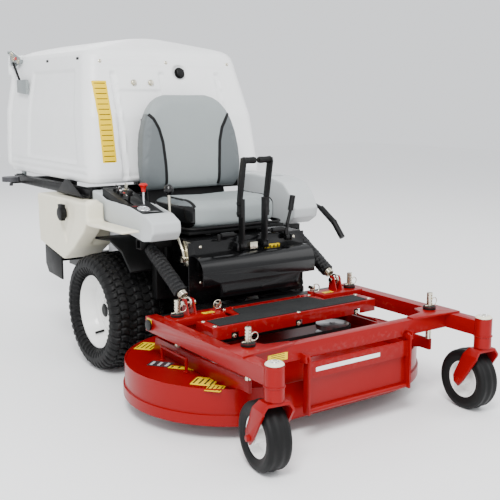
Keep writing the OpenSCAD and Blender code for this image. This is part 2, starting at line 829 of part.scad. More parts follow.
module deck_shell() {
    color(red) difference() {
        union() {
            translate([0, 0, deck_low]) linear_extrude(deck_rim - deck_low) deck_outline();
            translate([0, 0, deck_low]) linear_extrude(40) deck_outline(7);
        }
        translate([0, 0, deck_low - 1]) linear_extrude(deck_top - deck_low + 1) deck_outline(-sheet);
        translate([0, 0, deck_top + sheet]) linear_extrude(40) deck_outline(-sheet);
        for (s = sides) translate([s * spindle_x, deck_y, deck_top - 1]) cylinder(r = 45, h = 10);
        // outlet at the back
        span([-chute_half, deck_y + deck_r - 20, 76], [chute_half, deck_y + deck_r + 20, 172]);
    }
}

// brackets under the height posts, hoop handles and front lugs
module deck_fittings() {
    color(red) for (s = sides) {
        side_plate(s * 425, s * 437, [
            [-990, 200], [-990, 244], [-350, 244], [-330, 185], [-894, 185], [-894, 191], [-940, 200]
        ]);
        side_plate(s * 398, s * 402, [[-880, 185], [-880, 215], [-300, 215], [-300, 185]]);
        bent_rod([[s * 470, -640, 185], [s * 470, -640, 236], [s * 470, -460, 236], [s * 470, -460, 185]], 6);
        for (y = [-640, -460]) translate([s * 470, y, 185]) cylinder(r = 11, h = 5);
    }
}

module height_posts() {
    color(zinc) for (s = sides, y = post_y) {
        difference() {
            translate([s * post_x, y, 244]) cylinder(r = post_r, h = 183);
            for (i = [0 : 3], a = [0, 90]) translate([s * post_x, y, 384 + i * 11])
                rotate([90, 0, a]) cylinder(r = 2.6, h = 40, center = true);
        }
        translate([s * post_x - 24, y, 376]) rotate([0, 90, 0]) cylinder(r = 3, h = 50);
        translate([s * post_x + 26, y, 390]) rotate([90, 0, 0])
            rotate_extrude() translate([14, 0]) circle(r = 1.8);
    }
}

module spindle_housings() {
    color("silver") for (s = sides) translate([s * spindle_x, deck_y, 0]) difference() {
        union() {
            cylinder_z(44, 140, 206);
            cylinder_z(70, deck_top + sheet, deck_top + sheet + 8);
        }
        cylinder_z(spindle_r + fit, 139, 207);
    }
}

// toothed belt round both pulleys, just clear of them
module drive_belt() {
    inner = pulley_r + 0.5;
    color(black) translate([0, 0, belt_z[0]]) linear_extrude(belt_z[1] - belt_z[0]) difference() {
        belt_loop(inner + 8);
        belt_loop(inner);
    }
}

module belt_loop(r) {
    for (s = sides) translate([s * spindle_x, deck_y]) circle(r = r);
    translate([-spindle_x, deck_y - r]) square([2 * spindle_x, 2 * r]);
}

// blade with lifted ends, its spindle shaft and its pulley
module blade(s, phase) {
    color("silver") translate([s * spindle_x, deck_y, 0]) rotate([0, 0, phase]) {
        span([-blade_len / 2, -30, 72], [blade_len / 2, 30, 78]);
        for (a = [0, 180]) rotate([0, 0, a])
            span([blade_len / 2 - 100, 18, 76], [blade_len / 2 - 4, 26, 92]);
        cylinder_z(spindle_r, 64, 236);
        cylinder_z(30, 78, 130);
        cylinder_z(18, 62, 72);
        cylinder_z(pulley_r, belt_z[0] - 2, belt_z[1] + 2);
    }
}

// ---------- levers ----------

// flat lever with a hub at its foot, a bolted upper bar and an inward grip
module motion_lever(s) {
    y = motion_pivot[0];
    z = motion_pivot[1];
    color(black) difference() {
        union() {
            rod_x(16, s * (motion_x - 8), s * (motion_x + 8), y, z);
            side_plate(s * (motion_x - 5), s * (motion_x + 5), [
                [-400, 575], [-414, 610], [-414, 770], [-382, 770], [-382, 610], [-380, 575]
            ]);
            side_plate(s * (motion_x + 5), s * (motion_x + 13), [
                [-414, 696], [-414, 772], [-440, 920], [-436, 936], [-408, 936], [-406, 924],
                [-382, 772], [-382, 696]
            ]);
            rod_x(12, s * (motion_x + 12), s * 8, -422, 926);
            for (h = [712, 752]) translate([s * (motion_x + 13), -398, h]) rotate([0, s * 90, 0]) hex_bolt(5);
        }
        rod_x(motion_pin_r + fit, s * (motion_x - 9), s * (motion_x + 9), y, z);
    }
}

module ball_lever() {
    foot = [ball_x, ball_pivot[0], ball_pivot[1]];
    color(zinc) difference() {
        union() {
            rod_x(12, ball_x - 7, ball_x + 6, ball_pivot[0], ball_pivot[1]);
            bent_rod([foot + [0, 0, 4], [ball_x, -312, 566], [ball_x, -212, 690], [ball_x, -205, 792]], 6);
            translate([ball_x, -205, 806]) sphere(r = 21);
        }
        rod_x(small_pin_r + fit, ball_x - 9, ball_x + 8, ball_pivot[0], ball_pivot[1]);
    }
}

module brake_lever() {
    color(black) difference() {
        union() {
            rod_x(13, brake_x - 9, brake_x + 9, brake_pivot[0], brake_pivot[1]);
            bent_rod([[brake_x, -385, 600], [brake_x + 4, -384, 650], [brake_x + 24, -378, 702]], 7);
            rod([brake_x + 24, -378, 702], [brake_x + 40, -373, 764], 12);
        }
        rod_x(small_pin_r + fit, brake_x - 11, brake_x + 11, brake_pivot[0], brake_pivot[1]);
    }
}

// long lever beside the left fender that tips the hopper
module dump_lever() {
    color(black) difference() {
        union() {
            rod_x(16, dump_x - 8, dump_x + 8, dump_pivot[0], dump_pivot[1]);
            bent_rod([[dump_x, 150, 716], [dump_x, -120, 724], [dump_x, -290, 684]], 9);
            bent_rod([[dump_x, -290, 684], [dump_x, -380, 630], [dump_x, -436, 570]], 13);
        }
        rod_x(small_pin_r + fit, dump_x - 10, dump_x + 10, dump_pivot[0], dump_pivot[1]);
    }
}

// ---------- seat ----------

module seat_shell() {
    color(black) {
        span([-seat_half + 6, -286, 622], [seat_half - 6, 96, seat_z[0] - 0.5]);
        for (s = sides) span([s * 130 - 16, -270, 621.4], [s * 130 + 16, 60, 624]);
        side_plate(-200, 200, [[96, 622], [88, 640], [126, 760], [176, 1080], [186, 1080], [142, 760], [110, 622]]);
    }
}

module seat_cushion() {
    r = 34;
    color(grey) hull() {
        for (s = sides) {
            translate([s * (seat_half - 36), -262, seat_z[0] + r]) sphere(r = r, $fn = 32);
            translate([s * (seat_half - r), 40, seat_z[0] + r]) sphere(r = r, $fn = 32);
            translate([s * (seat_half - 40), -262, seat_z[1] - r]) sphere(r = r, $fn = 32);
            translate([s * (seat_half - r), 20, seat_z[1] - r]) sphere(r = r, $fn = 32);
        }
    }
}

module seat_back() {
    r = 28;
    color(grey) hull() {
        for (s = sides) {
            translate([s * 170, 96, 766 + r]) sphere(r = r, $fn = 32);
            translate([s * 244, 84, 880]) sphere(r = r, $fn = 32);
            translate([s * 242, 106, 990]) sphere(r = r, $fn = 32);
            translate([s * 190, 138, 1120]) sphere(r = r, $fn = 32);
            translate([s * 120, 148, 1162]) sphere(r = r, $fn = 32);
        }
    }
}

// ---------- hopper ----------

// a level slice of the hopper: a rounded rectangle of small height
module hopper_slice(half, front, rear, z, r) {
    for (s = sides, y = [front + r, rear - r])
        translate([s * (half - r), y, z]) cylinder(r = r, h = 2, $fn = 32);
}

// the hopper's outer form, shrunk by g on every side
module hopper_form(g, rear) {
    low = hopper_low + g;
    hull() {
        hopper_slice(hopper_half[0] - g - 14, hopper_front[0] + g + 12, rear - 14, low, 46);
        hopper_slice(hopper_half[0] - g, hopper_front[0] + g, rear, low + 40, 56);
        hopper_slice(hopper_half[1] - g, hopper_front[1] + g - 24, rear, 1090, 60);
        hopper_slice(hopper_half[2] - g, hopper_front[2] + g, rear, hopper_high[0] - g - 50, 60);
        hopper_slice(hopper_half[2] - g - 34, hopper_front[2] + g + 34, rear - 20, hopper_high[0] - g, 60);
        hopper_slice(200, hopper_front[2] + g + 120, rear - 60, hopper_high[1] - g, 90);
    }
}

module hopper_shell() {
    wall = 9;
    color(white) difference() {
        union() {
            hopper_form(0, hopper_rear);
            for (s = sides) side_plate(s * 384, s * 396, [
                [1128, 758], [1128, 812], [1174, 812], [1174, 758], [1160, 750], [1140, 750]
            ]);
        }
        hopper_form(wall, hopper_rear - wall - 2);
        // rear mouth
        span([-350, hopper_rear - 90, 850], [350, hopper_rear + 10, 1350]);
        // inlet over the chute
        span([-140, 200, hopper_low - 10], [140, 282, 860]);
        for (s = sides) rod_x(hopper_pin_r + fit, s * 380, s * 400, hopper_pivot[0], hopper_pivot[1]);
    }
}

// steel corner plates with the door's hinge pins, deflector pockets and face bolts
module hopper_hardware() {
    color("silver") {
        for (s = sides) {
            side_plate(s * 410, s * 415, [
                [1060, 1350], [1075, 1376], [1190, 1414], [1214, 1410], [1206, 1340], [1150, 1330]
            ]);
            rod_x(door_pin_r, s * 410, s * 428, door_pivot[0], door_pivot[1]);
            rod_x(9, s * 403, s * 416, 1090, 1356);
            // deflector pocket
            side_plate(s * 427, s * 440, [[930, 1190], [930, 1262], [1060, 1262], [1060, 1200]]);
        }
    }
}

module hopper_door() {
    front = hopper_rear + 8;
    color(white) difference() {
        union() {
            hull() {
                for (s = sides) {
                    translate([s * (hopper_half[0] - 50), front, 850]) rotate([-90, 0, 0])
                        cylinder(r = 40, h = 40, $fn = 32);
                    translate([s * (hopper_half[0] - 70), front, 870]) rotate([-90, 0, 0])
                        cylinder(r = 40, h = door_rear - front, $fn = 32);
                    translate([s * (hopper_half[1] - 44), front, 1100]) rotate([-90, 0, 0])
                        cylinder(r = 40, h = 44, $fn = 32);
                    translate([s * (hopper_half[2] - 46), front, 1354]) rotate([-90, 0, 0])
                        cylinder(r = 40, h = 36, $fn = 32);
                    translate([s * (hopper_half[2] - 80), front, 1330]) rotate([-90, 0, 0])
                        cylinder(r = 40, h = door_rear - front, $fn = 32);
                }
            }
            // hinge straps outside the corner plates
            for (s = sides) {
                side_plate(s * 419, s * 424, [
                    [1192, 1396], [1192, 1414], [1212, 1414], [1222, 1390], [1238, 1340], [1238, 1290],
                    [1206, 1290], [1206, 1340]
                ]);
                span([min(s * 380, s * 424), 1206, 1292], [max(s * 380, s * 424), 1236, 1330]);
            }
        }
        for (s = sides) rod_x(door_pin_r + fit, s * 417, s * 426, door_pivot[0], door_pivot[1]);
    }
}

main_frame();
bulkhead();
leg_shield();
engine_block();
engine_cowl();
muffler();
hydro_units();
fuel_tank();
right_console();
left_fender();
control_panel();
battery();
discharge_chute();
wheel_guards();
lift_springs();
chassis_hardware();
lever_dampers();
hopper_frame();
bumper_discs();
drive_tyre(-1);  // right_tyre
drive_rim(-1);  // right_rim
drive_tyre(1);  // left_tyre
drive_rim(1);  // left_rim
carrier_frame();
caster_bearings();
carrier_hardware();
foot_tray();
foot_mat();
front_gate();
deck_shell();
deck_fittings();
height_posts();
spindle_housings();
drive_belt();
blade(-1, 0);  // right_blade
blade(1, 90);  // left_blade
caster_fork(-1);  // right_caster_fork
caster_tyre(-1);  // right_caster_tyre
caster_rim(-1);  // right_caster_rim
caster_fork(1);  // left_caster_fork
caster_tyre(1);  // left_caster_tyre
caster_rim(1);  // left_caster_rim
tail_fork();
tail_tyre();
tail_rim();
motion_lever(-1);  // right_motion_lever
motion_lever(1);  // left_motion_lever
ball_lever();
brake_lever();
dump_lever();
seat_shell();
seat_cushion();
seat_back();
hopper_shell();
hopper_hardware();
hopper_door();
pull_knob();
ignition_key();
throttle_lever();
fuel_cap();
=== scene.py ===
"""Visible model of a mid-mount zero-turn mower, built over its CAD frame.

Metres. +Z up, the machine's front towards -Y, +X on the operator's left. Each sub-assembly is a
dataclass with a build() method; main() builds them in order.
"""

from __future__ import annotations

import json
import logging
import math
from dataclasses import dataclass, field
from enum import Enum
from typing import Callable, Sequence

import bmesh
import bpy
import numpy as np
from mathutils import Matrix, Vector
from mathutils.bvhtree import BVHTree

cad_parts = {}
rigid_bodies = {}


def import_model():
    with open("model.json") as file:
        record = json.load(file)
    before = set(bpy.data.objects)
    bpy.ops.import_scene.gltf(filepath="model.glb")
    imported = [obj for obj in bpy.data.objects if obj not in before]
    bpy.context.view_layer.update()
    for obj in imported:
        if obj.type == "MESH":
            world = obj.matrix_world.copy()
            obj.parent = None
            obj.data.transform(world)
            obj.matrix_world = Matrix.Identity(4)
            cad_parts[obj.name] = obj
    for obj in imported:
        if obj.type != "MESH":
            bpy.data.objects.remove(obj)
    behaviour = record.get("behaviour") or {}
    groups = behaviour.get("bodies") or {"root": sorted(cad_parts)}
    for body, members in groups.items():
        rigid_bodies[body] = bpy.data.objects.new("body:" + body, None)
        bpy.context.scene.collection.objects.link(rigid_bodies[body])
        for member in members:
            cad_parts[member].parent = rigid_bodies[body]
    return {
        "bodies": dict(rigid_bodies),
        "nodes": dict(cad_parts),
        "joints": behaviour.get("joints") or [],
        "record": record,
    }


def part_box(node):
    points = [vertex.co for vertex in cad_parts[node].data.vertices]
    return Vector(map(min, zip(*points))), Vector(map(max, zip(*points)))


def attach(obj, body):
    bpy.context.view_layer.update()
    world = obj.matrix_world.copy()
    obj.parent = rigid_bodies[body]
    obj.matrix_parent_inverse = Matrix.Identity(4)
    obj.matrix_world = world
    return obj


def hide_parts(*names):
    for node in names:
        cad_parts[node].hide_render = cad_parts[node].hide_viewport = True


Array = np.ndarray
Mesh = bpy.types.Mesh
Tree = bpy.types.NodeTree
Socket = bpy.types.NodeSocket
Value = Socket | float
Point = Sequence[float]
SIDES = {-1: "right", 1: "left"}
LOG = logging.getLogger("mower")


class Pattern(Enum):
    """Kind of small surface relief a finish carries."""

    SMOOTH = "smooth"
    PEEL = "peel"
    MOULDED = "moulded"
    GRIT = "grit"
    WEAVE = "weave"
    VINYL = "vinyl"
    BRUSHED = "brushed"
    CAST = "cast"


@dataclass(frozen=True)
class Relief:
    """Noise size per metre along each axis, and its height in metres."""

    scale: tuple[float, float, float]
    height: float


RELIEFS: dict[Pattern, Relief] = {
    Pattern.SMOOTH: Relief((90, 90, 90), 0.00002),
    Pattern.PEEL: Relief((420, 420, 420), 0.00006),
    Pattern.MOULDED: Relief((520, 520, 520), 0.00012),
    Pattern.GRIT: Relief((900, 900, 900), 0.0010),
    Pattern.WEAVE: Relief((700, 700, 700), 0.0003),
    Pattern.VINYL: Relief((330, 330, 330), 0.00030),
    Pattern.BRUSHED: Relief((1400, 60, 60), 0.00005),
    Pattern.CAST: Relief((260, 260, 260), 0.0004),
}


@dataclass(frozen=True)
class Finish:
    """One surface finish.

    colour is linear RGB. wear and dust are strengths from 0 to 1. marks draws plain bars over
    the colour in the mesh's UV square, in the colour marks_colour.
    """

    name: str
    colour: tuple[float, float, float]
    roughness: float
    pattern: Pattern = Pattern.SMOOTH
    metallic: float = 0.0
    coat: float = 0.0
    wear: float = 0.0
    dust: float = 0.0
    wear_colour: tuple[float, float, float] = (0.30, 0.29, 0.28)
    marks: tuple[float, float] | None = None
    marks_colour: tuple[float, float, float] = (0.015, 0.015, 0.015)
    transmission: float = 0.0
    specular: float = 0.35


FINISHES: dict[str, Finish] = {f.name: f for f in (
    Finish("red_steel", (0.235, 0.0, 0.0008), 0.30, Pattern.PEEL, coat=0.06, wear=0.05, dust=0.003,
           specular=0.16),
    Finish("black_steel", (0.0028, 0.0028, 0.003), 0.42, Pattern.PEEL, wear=0.03, dust=0.006, specular=0.22),
    Finish("black_plastic", (0.003, 0.003, 0.0032), 0.45, Pattern.MOULDED, dust=0.005, specular=0.2),
    Finish("gloss_black", (0.0022, 0.0022, 0.0025), 0.20, coat=0.05, dust=0.003, specular=0.3),
    Finish("white_plastic", (0.86, 0.87, 0.87), 0.34, Pattern.MOULDED, dust=0.01),
    Finish("cream_plastic", (0.80, 0.76, 0.60), 0.32, Pattern.MOULDED, dust=0.02),
    Finish("grey_plastic", (0.50, 0.525, 0.53), 0.38, Pattern.MOULDED, dust=0.01),
    Finish("white_steel", (0.86, 0.86, 0.84), 0.25, Pattern.PEEL, coat=0.4, wear=0.1, dust=0.03),
    Finish("grey_steel", (0.30, 0.33, 0.33), 0.34, Pattern.BRUSHED, metallic=0.6, wear=0.1),
    Finish("zinc", (0.66, 0.62, 0.50), 0.24, Pattern.BRUSHED, metallic=1.0, wear=0.1),
    Finish("blade_steel", (0.45, 0.45, 0.46), 0.32, Pattern.BRUSHED, metallic=1.0),
    Finish("exhaust_steel", (0.38, 0.34, 0.31), 0.45, Pattern.CAST, metallic=0.9),
    Finish("engine_alloy", (0.60, 0.60, 0.61), 0.42, Pattern.CAST, metallic=0.9),
    Finish("cast_housing", (0.05, 0.05, 0.055), 0.55, Pattern.CAST, metallic=0.3),
    Finish("bronze", (0.55, 0.38, 0.17), 0.40, Pattern.CAST, metallic=1.0),
    Finish("tyre", (0.0032, 0.0032, 0.0034), 0.55, Pattern.MOULDED, dust=0.006, specular=0.2),
    Finish("belt_rubber", (0.012, 0.012, 0.012), 0.70, Pattern.WEAVE),
    Finish("grey_rubber", (0.045, 0.045, 0.05), 0.55, Pattern.MOULDED, dust=0.04),
    Finish("mat_rubber", (0.012, 0.013, 0.0135), 0.80, Pattern.GRIT, dust=0.015, specular=0.2),
    Finish("sleeve_fabric", (0.0035, 0.0035, 0.004), 0.42, Pattern.WEAVE, dust=0.005, specular=0.28),
    Finish("light_vinyl", (0.27, 0.30, 0.30), 0.42, Pattern.VINYL),
    Finish("dark_vinyl", (0.115, 0.13, 0.135), 0.42, Pattern.VINYL),
    Finish("yellow_label", (0.82, 0.56, 0.0), 0.40, specular=0.2, marks=(4.0, 0.42)),
    Finish("warning_strip", (0.82, 0.56, 0.0), 0.45, specular=0.1, marks=(16.0, 0.22),
           marks_colour=(0.10, 0.06, 0.005)),
    Finish("dark_label", (0.03, 0.03, 0.033), 0.32, coat=0.3, marks=(3.0, 0.45),
           marks_colour=(0.5, 0.5, 0.5)),
    Finish("red_plastic", (0.42, 0.002, 0.003), 0.25, specular=0.3),
    Finish("gauge_glass", (0.9, 0.93, 0.95), 0.05, transmission=0.9),
    Finish("chrome", (0.78, 0.78, 0.79), 0.08, metallic=1.0),
)}


# ---------------------------------------------------------------- shader groups


def new_group(name: str, place: str, gives: tuple[str, str]) -> tuple:
    """Makes an empty shader node group with one vector input and one output.

    Args:
        name: the group's name.
        place: name of the vector input.
        gives: name and socket type of the output.

    Returns:
        The tree, its input node and its output node.
    """
    tree = bpy.data.node_groups.new(name, "ShaderNodeTree")
    tree.interface.new_socket(place, in_out="INPUT", socket_type="NodeSocketVector")
    tree.interface.new_socket(gives[0], in_out="OUTPUT", socket_type=gives[1])
    return tree, tree.nodes.new("NodeGroupInput"), tree.nodes.new("NodeGroupOutput")


def ramp(tree: Tree, source: Socket, low: float, high: float) -> Socket:
    """Adds a smooth step over a value.

    Args:
        tree: the tree to add to.
        source: the value.
        low: where the step starts.
        high: where the step ends.

    Returns:
        The result, 0 below low and 1 above high.
    """
    node = tree.nodes.new("ShaderNodeMapRange")
    node.interpolation_type = "SMOOTHSTEP"
    node.inputs["From Min"].default_value = low
    node.inputs["From Max"].default_value = high
    tree.links.new(source, node.inputs["Value"])
    return node.outputs["Result"]


def noise(tree: Tree, source: Socket, scale: float, detail: float) -> Socket:
    """Adds a noise texture over a vector.

    Args:
        tree: the tree to add to.
        source: the vector.
        scale: cells per unit of the vector.
        detail: octaves.

    Returns:
        The noise value.
    """
    node = tree.nodes.new("ShaderNodeTexNoise")
    node.inputs["Scale"].default_value = scale
    node.inputs["Detail"].default_value = detail
    tree.links.new(source, node.inputs["Vector"])
    return node.outputs["Fac"]


def maths(tree: Tree, kind: str, a: Value, b: Value) -> Socket:
    """Adds a maths node.

    Args:
        tree: the tree to add to.
        kind: the operation.
        a: first socket or number.
        b: second socket or number.

    Returns:
        The result.
    """
    node = tree.nodes.new("ShaderNodeMath")
    node.operation = kind
    for i, value in enumerate((a, b)):
        if isinstance(value, (int, float)):
            node.inputs[i].default_value = value
        else:
            tree.links.new(value, node.inputs[i])
    return node.outputs[0]


def dust_group() -> Tree:
    """Mask of settled dust: upward faces times a broken, low-frequency noise."""
    tree, into, out = new_group("settled dust", "Vector", ("Mask", "NodeSocketFloat"))
    geometry = tree.nodes.new("ShaderNodeNewGeometry")
    split = tree.nodes.new("ShaderNodeSeparateXYZ")
    tree.links.new(geometry.outputs["Normal"], split.inputs[0])
    up = ramp(tree, split.outputs["Z"], -0.6, 0.9)
    cloud = ramp(tree, noise(tree, into.outputs["Vector"], 9.0, 6.0), 0.35, 0.75)
    tree.links.new(maths(tree, "MULTIPLY", up, cloud), out.inputs["Mask"])
    return tree


def wear_group() -> Tree:
    """Mask of rubbed edges: convex pointiness broken up by noise."""
    tree, into, out = new_group("rubbed edges", "Vector", ("Mask", "NodeSocketFloat"))
    geometry = tree.nodes.new("ShaderNodeNewGeometry")
    edge = ramp(tree, geometry.outputs["Pointiness"], 0.54, 0.62)
    broken = ramp(tree, noise(tree, into.outputs["Vector"], 60.0, 5.0), 0.48, 0.66)
    tree.links.new(maths(tree, "MULTIPLY", edge, broken), out.inputs["Mask"])
    return tree


def relief_group(pattern: Pattern) -> Tree:
    """Normal of one kind of surface relief, from noise, cells or a woven wave pair.

    Args:
        pattern: the kind of relief.

    Returns:
        The group.
    """
    relief = RELIEFS[pattern]
    tree, into, out = new_group(f"{pattern.value} relief", "Vector", ("Normal", "NodeSocketVector"))
    mapping = tree.nodes.new("ShaderNodeMapping")
    mapping.inputs["Scale"].default_value = relief.scale
    tree.links.new(into.outputs["Vector"], mapping.inputs["Vector"])
    if pattern is Pattern.WEAVE:
        waves = []
        for axis in ("X", "Z"):
            wave = tree.nodes.new("ShaderNodeTexWave")
            wave.bands_direction = axis
            wave.inputs["Scale"].default_value = 1.0
            wave.inputs["Distortion"].default_value = 0.6
            tree.links.new(mapping.outputs[0], wave.inputs["Vector"])
            waves.append(wave.outputs["Fac"])
        height = maths(tree, "MAXIMUM", *waves)
    elif pattern is Pattern.VINYL:
        cells = tree.nodes.new("ShaderNodeTexVoronoi")
        cells.feature = "DISTANCE_TO_EDGE"
        cells.inputs["Scale"].default_value = 1.0
        tree.links.new(mapping.outputs[0], cells.inputs["Vector"])
        height = ramp(tree, cells.outputs["Distance"], 0.0, 0.25)
    else:
        height = noise(tree, mapping.outputs[0], 1.0, 4.0)
    bump = tree.nodes.new("ShaderNodeBump")
    bump.inputs["Strength"].default_value = 1.0
    bump.inputs["Distance"].default_value = relief.height
    tree.links.new(height, bump.inputs["Height"])
    tree.links.new(bump.outputs[0], out.inputs["Normal"])
    return tree


def marks_group(cells: float, width: float) -> Tree:
    """Mask of plain bars inside a border, over the UV square.

    Args:
        cells: bars along V.
        width: a bar fills 0.8 times this share of its cell.

    Returns:
        The group.
    """
    tree, into, out = new_group(f"plain marks {cells:.0f}", "UV", ("Mask", "NodeSocketFloat"))
    split = tree.nodes.new("ShaderNodeSeparateXYZ")
    tree.links.new(into.outputs["UV"], split.inputs[0])
    row = maths(tree, "FRACT", maths(tree, "MULTIPLY", split.outputs["Y"], cells), 0)

    def between(value: Socket, low: float, high: float) -> Socket:
        """1 where the value lies between low and high."""
        above, below = maths(tree, "GREATER_THAN", value, low), maths(tree, "LESS_THAN", value, high)
        return maths(tree, "MULTIPLY", above, below)

    bars, inside = between(row, 0.28, 0.28 + width * 0.8), between(split.outputs["X"], 0.16, 0.84)
    tree.links.new(maths(tree, "MULTIPLY", bars, inside), out.inputs["Mask"])
    return tree


class Paintbox:
    """Builds each finish's material once and hands it out."""

    def __init__(self) -> None:
        """Starts with no materials and no groups."""
        self.made: dict[str, bpy.types.Material] = {}
        self.groups: dict[str, Tree] = {}

    def group(self, key: str, make: Callable[[], Tree]) -> Tree:
        """The shared group under key, made on first use."""
        if key not in self.groups:
            self.groups[key] = make()
        return self.groups[key]

    def material(self, name: str) -> bpy.types.Material:
        """The material of the finish called name."""
        if name not in self.made:
            self.made[name] = self._build(FINISHES[name])
        return self.made[name]

    def _build(self, finish: Finish) -> bpy.types.Material:
        """Makes a finish's material: mottled colour, wear, dust and marks, varied roughness, relief."""
        material = bpy.data.materials.new(finish.name)
        material.use_nodes = True
        tree = material.node_tree
        shader = tree.nodes["Principled BSDF"]
        place = tree.nodes.new("ShaderNodeTexCoord")
        spot = place.outputs["Object"]

        def use(group: Tree, source: Socket, key: str = "Vector") -> Socket:
            """Places a group and returns its output."""
            node = tree.nodes.new("ShaderNodeGroup")
            node.node_tree = group
            tree.links.new(source, node.inputs[key])
            return node.outputs[0]

        def mix(factor: Socket, a: Socket | tuple, b: tuple, strength: float = 1.0) -> Socket:
            """Mixes two colours by a mask."""
            node = tree.nodes.new("ShaderNodeMix")
            node.data_type = "RGBA"
            tree.links.new(maths(tree, "MULTIPLY", factor, strength), node.inputs["Factor"])
            for slot, value in ((6, a), (7, b)):
                if isinstance(value, tuple):
                    node.inputs[slot].default_value = (*value, 1)
                else:
                    tree.links.new(value, node.inputs[slot])
            return node.outputs[2]

        mottle = noise(tree, spot, 14.0, 5.0)
        colour = mix(mottle, finish.colour, tuple(c * 0.93 for c in finish.colour))
        if finish.wear:
            worn = use(self.group("wear", wear_group), spot)
            colour = mix(worn, colour, finish.wear_colour, finish.wear)
        if finish.dust:
            dusty = use(self.group("dust", dust_group), spot)
            colour = mix(dusty, colour, (0.33, 0.30, 0.25), finish.dust)
        if finish.marks:
            marks = self.group(f"marks {finish.name}", lambda: marks_group(*finish.marks))
            colour = mix(use(marks, place.outputs["UV"], "UV"), colour, finish.marks_colour)
        tree.links.new(colour, shader.inputs["Base Color"])
        rough = tree.nodes.new("ShaderNodeMapRange")
        rough.inputs["To Min"].default_value = finish.roughness * 0.85
        rough.inputs["To Max"].default_value = min(1.0, finish.roughness * 1.2)
        tree.links.new(noise(tree, spot, 25.0, 4.0), rough.inputs["Value"])
        tree.links.new(rough.outputs["Result"], shader.inputs["Roughness"])
        relief = self.group(finish.pattern.value, lambda: relief_group(finish.pattern))
        tree.links.new(use(relief, spot), shader.inputs["Normal"])
        shader.inputs["Metallic"].default_value = finish.metallic
        shader.inputs["Specular IOR Level"].default_value = finish.specular
        shader.inputs["Coat Weight"].default_value = finish.coat
        shader.inputs["Coat Roughness"].default_value = 0.08
        shader.inputs["Transmission Weight"].default_value = finish.transmission
        return material


# ---------------------------------------------------------------- mesh helpers


@dataclass
class Shop:
    """Everything the sub-assemblies share: the frame, the paint and the node tables."""

    frame: dict
    paint: Paintbox = field(default_factory=Paintbox)
    taken: set = field(default_factory=set)

    def __post_init__(self) -> None:
        """Reads the material slots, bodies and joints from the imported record."""
        record = self.frame["record"]
        self.slot_of = {s["node"]: s["material_slot"] for s in record["subparts"]}
        self.body_of = {n: b for b, nodes in record["behaviour"]["bodies"].items() for n in nodes}
        self.joint = {j["name"]: j for j in self.frame["joints"]}

    def add(self, name: str, mesh: Mesh, finish: str, body: str, *stands_for: str,
            smooth: float | None = 40.0) -> bpy.types.Object:
        """Adds a finished mesh as a piece.

        Args:
            name: the piece's name.
            mesh: its mesh, in the row frame.
            finish: its finish, which is also its material slot.
            body: the CAD body it rides.
            stands_for: CAD nodes it replaces.
            smooth: angle in degrees above which edges stay sharp, or None to leave the shading.

        Returns:
            The new object.
        """
        obj = bpy.data.objects.new(name, mesh)
        bpy.context.scene.collection.objects.link(obj)
        mesh.materials.clear()
        mesh.materials.append(self.paint.material(finish))
        if smooth is not None:
            mesh.shade_smooth()
            mesh.set_sharp_from_angle(angle=math.radians(smooth))
        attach(obj, body)
        if stands_for:
            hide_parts(*stands_for)
            self.taken.update(stands_for)
        return obj

    def cad_copy(self, node: str) -> Mesh:
        """A welded copy of a CAD node's mesh with flat areas merged into single faces."""
        mesh = self.frame["nodes"][node].data.copy()
        work = bmesh.new()
        work.from_mesh(mesh)
        bmesh.ops.remove_doubles(work, verts=work.verts, dist=2e-5)
        bmesh.ops.dissolve_limit(work, angle_limit=math.radians(0.6), verts=work.verts, edges=work.edges)
        work.to_mesh(mesh)
        work.free()
        mesh.name = f"{node} form"
        return mesh


def baked(mesh: Mesh, *modifiers: tuple[str, dict]) -> Mesh:
    """Applies modifiers to a mesh.

    Args:
        mesh: the mesh to change.
        modifiers: (modifier type, settings) pairs in order.

    Returns:
        The new mesh.
    """
    obj = bpy.data.objects.new("work", mesh)
    bpy.context.scene.collection.objects.link(obj)
    for kind, settings in modifiers:
        modifier = obj.modifiers.new(kind, kind)
        for key, value in settings.items():
            setattr(modifier, key, value)
    graph = bpy.context.evaluated_depsgraph_get()
    result = bpy.data.meshes.new_from_object(obj.evaluated_get(graph), depsgraph=graph)
    bpy.data.objects.remove(obj)
    return result


def bevel(width: float, segments: int = 2) -> tuple[str, dict]:
    """Settings of a bevel over edges sharper than 32 degrees.

    Args:
        width: the bevel's width in metres.
        segments: faces across it.

    Returns:
        The modifier's type and settings.
    """
    return "BEVEL", dict(width=width, segments=segments, limit_method="ANGLE",
                         angle_limit=math.radians(32), use_clamp_overlap=True, harden_normals=False)


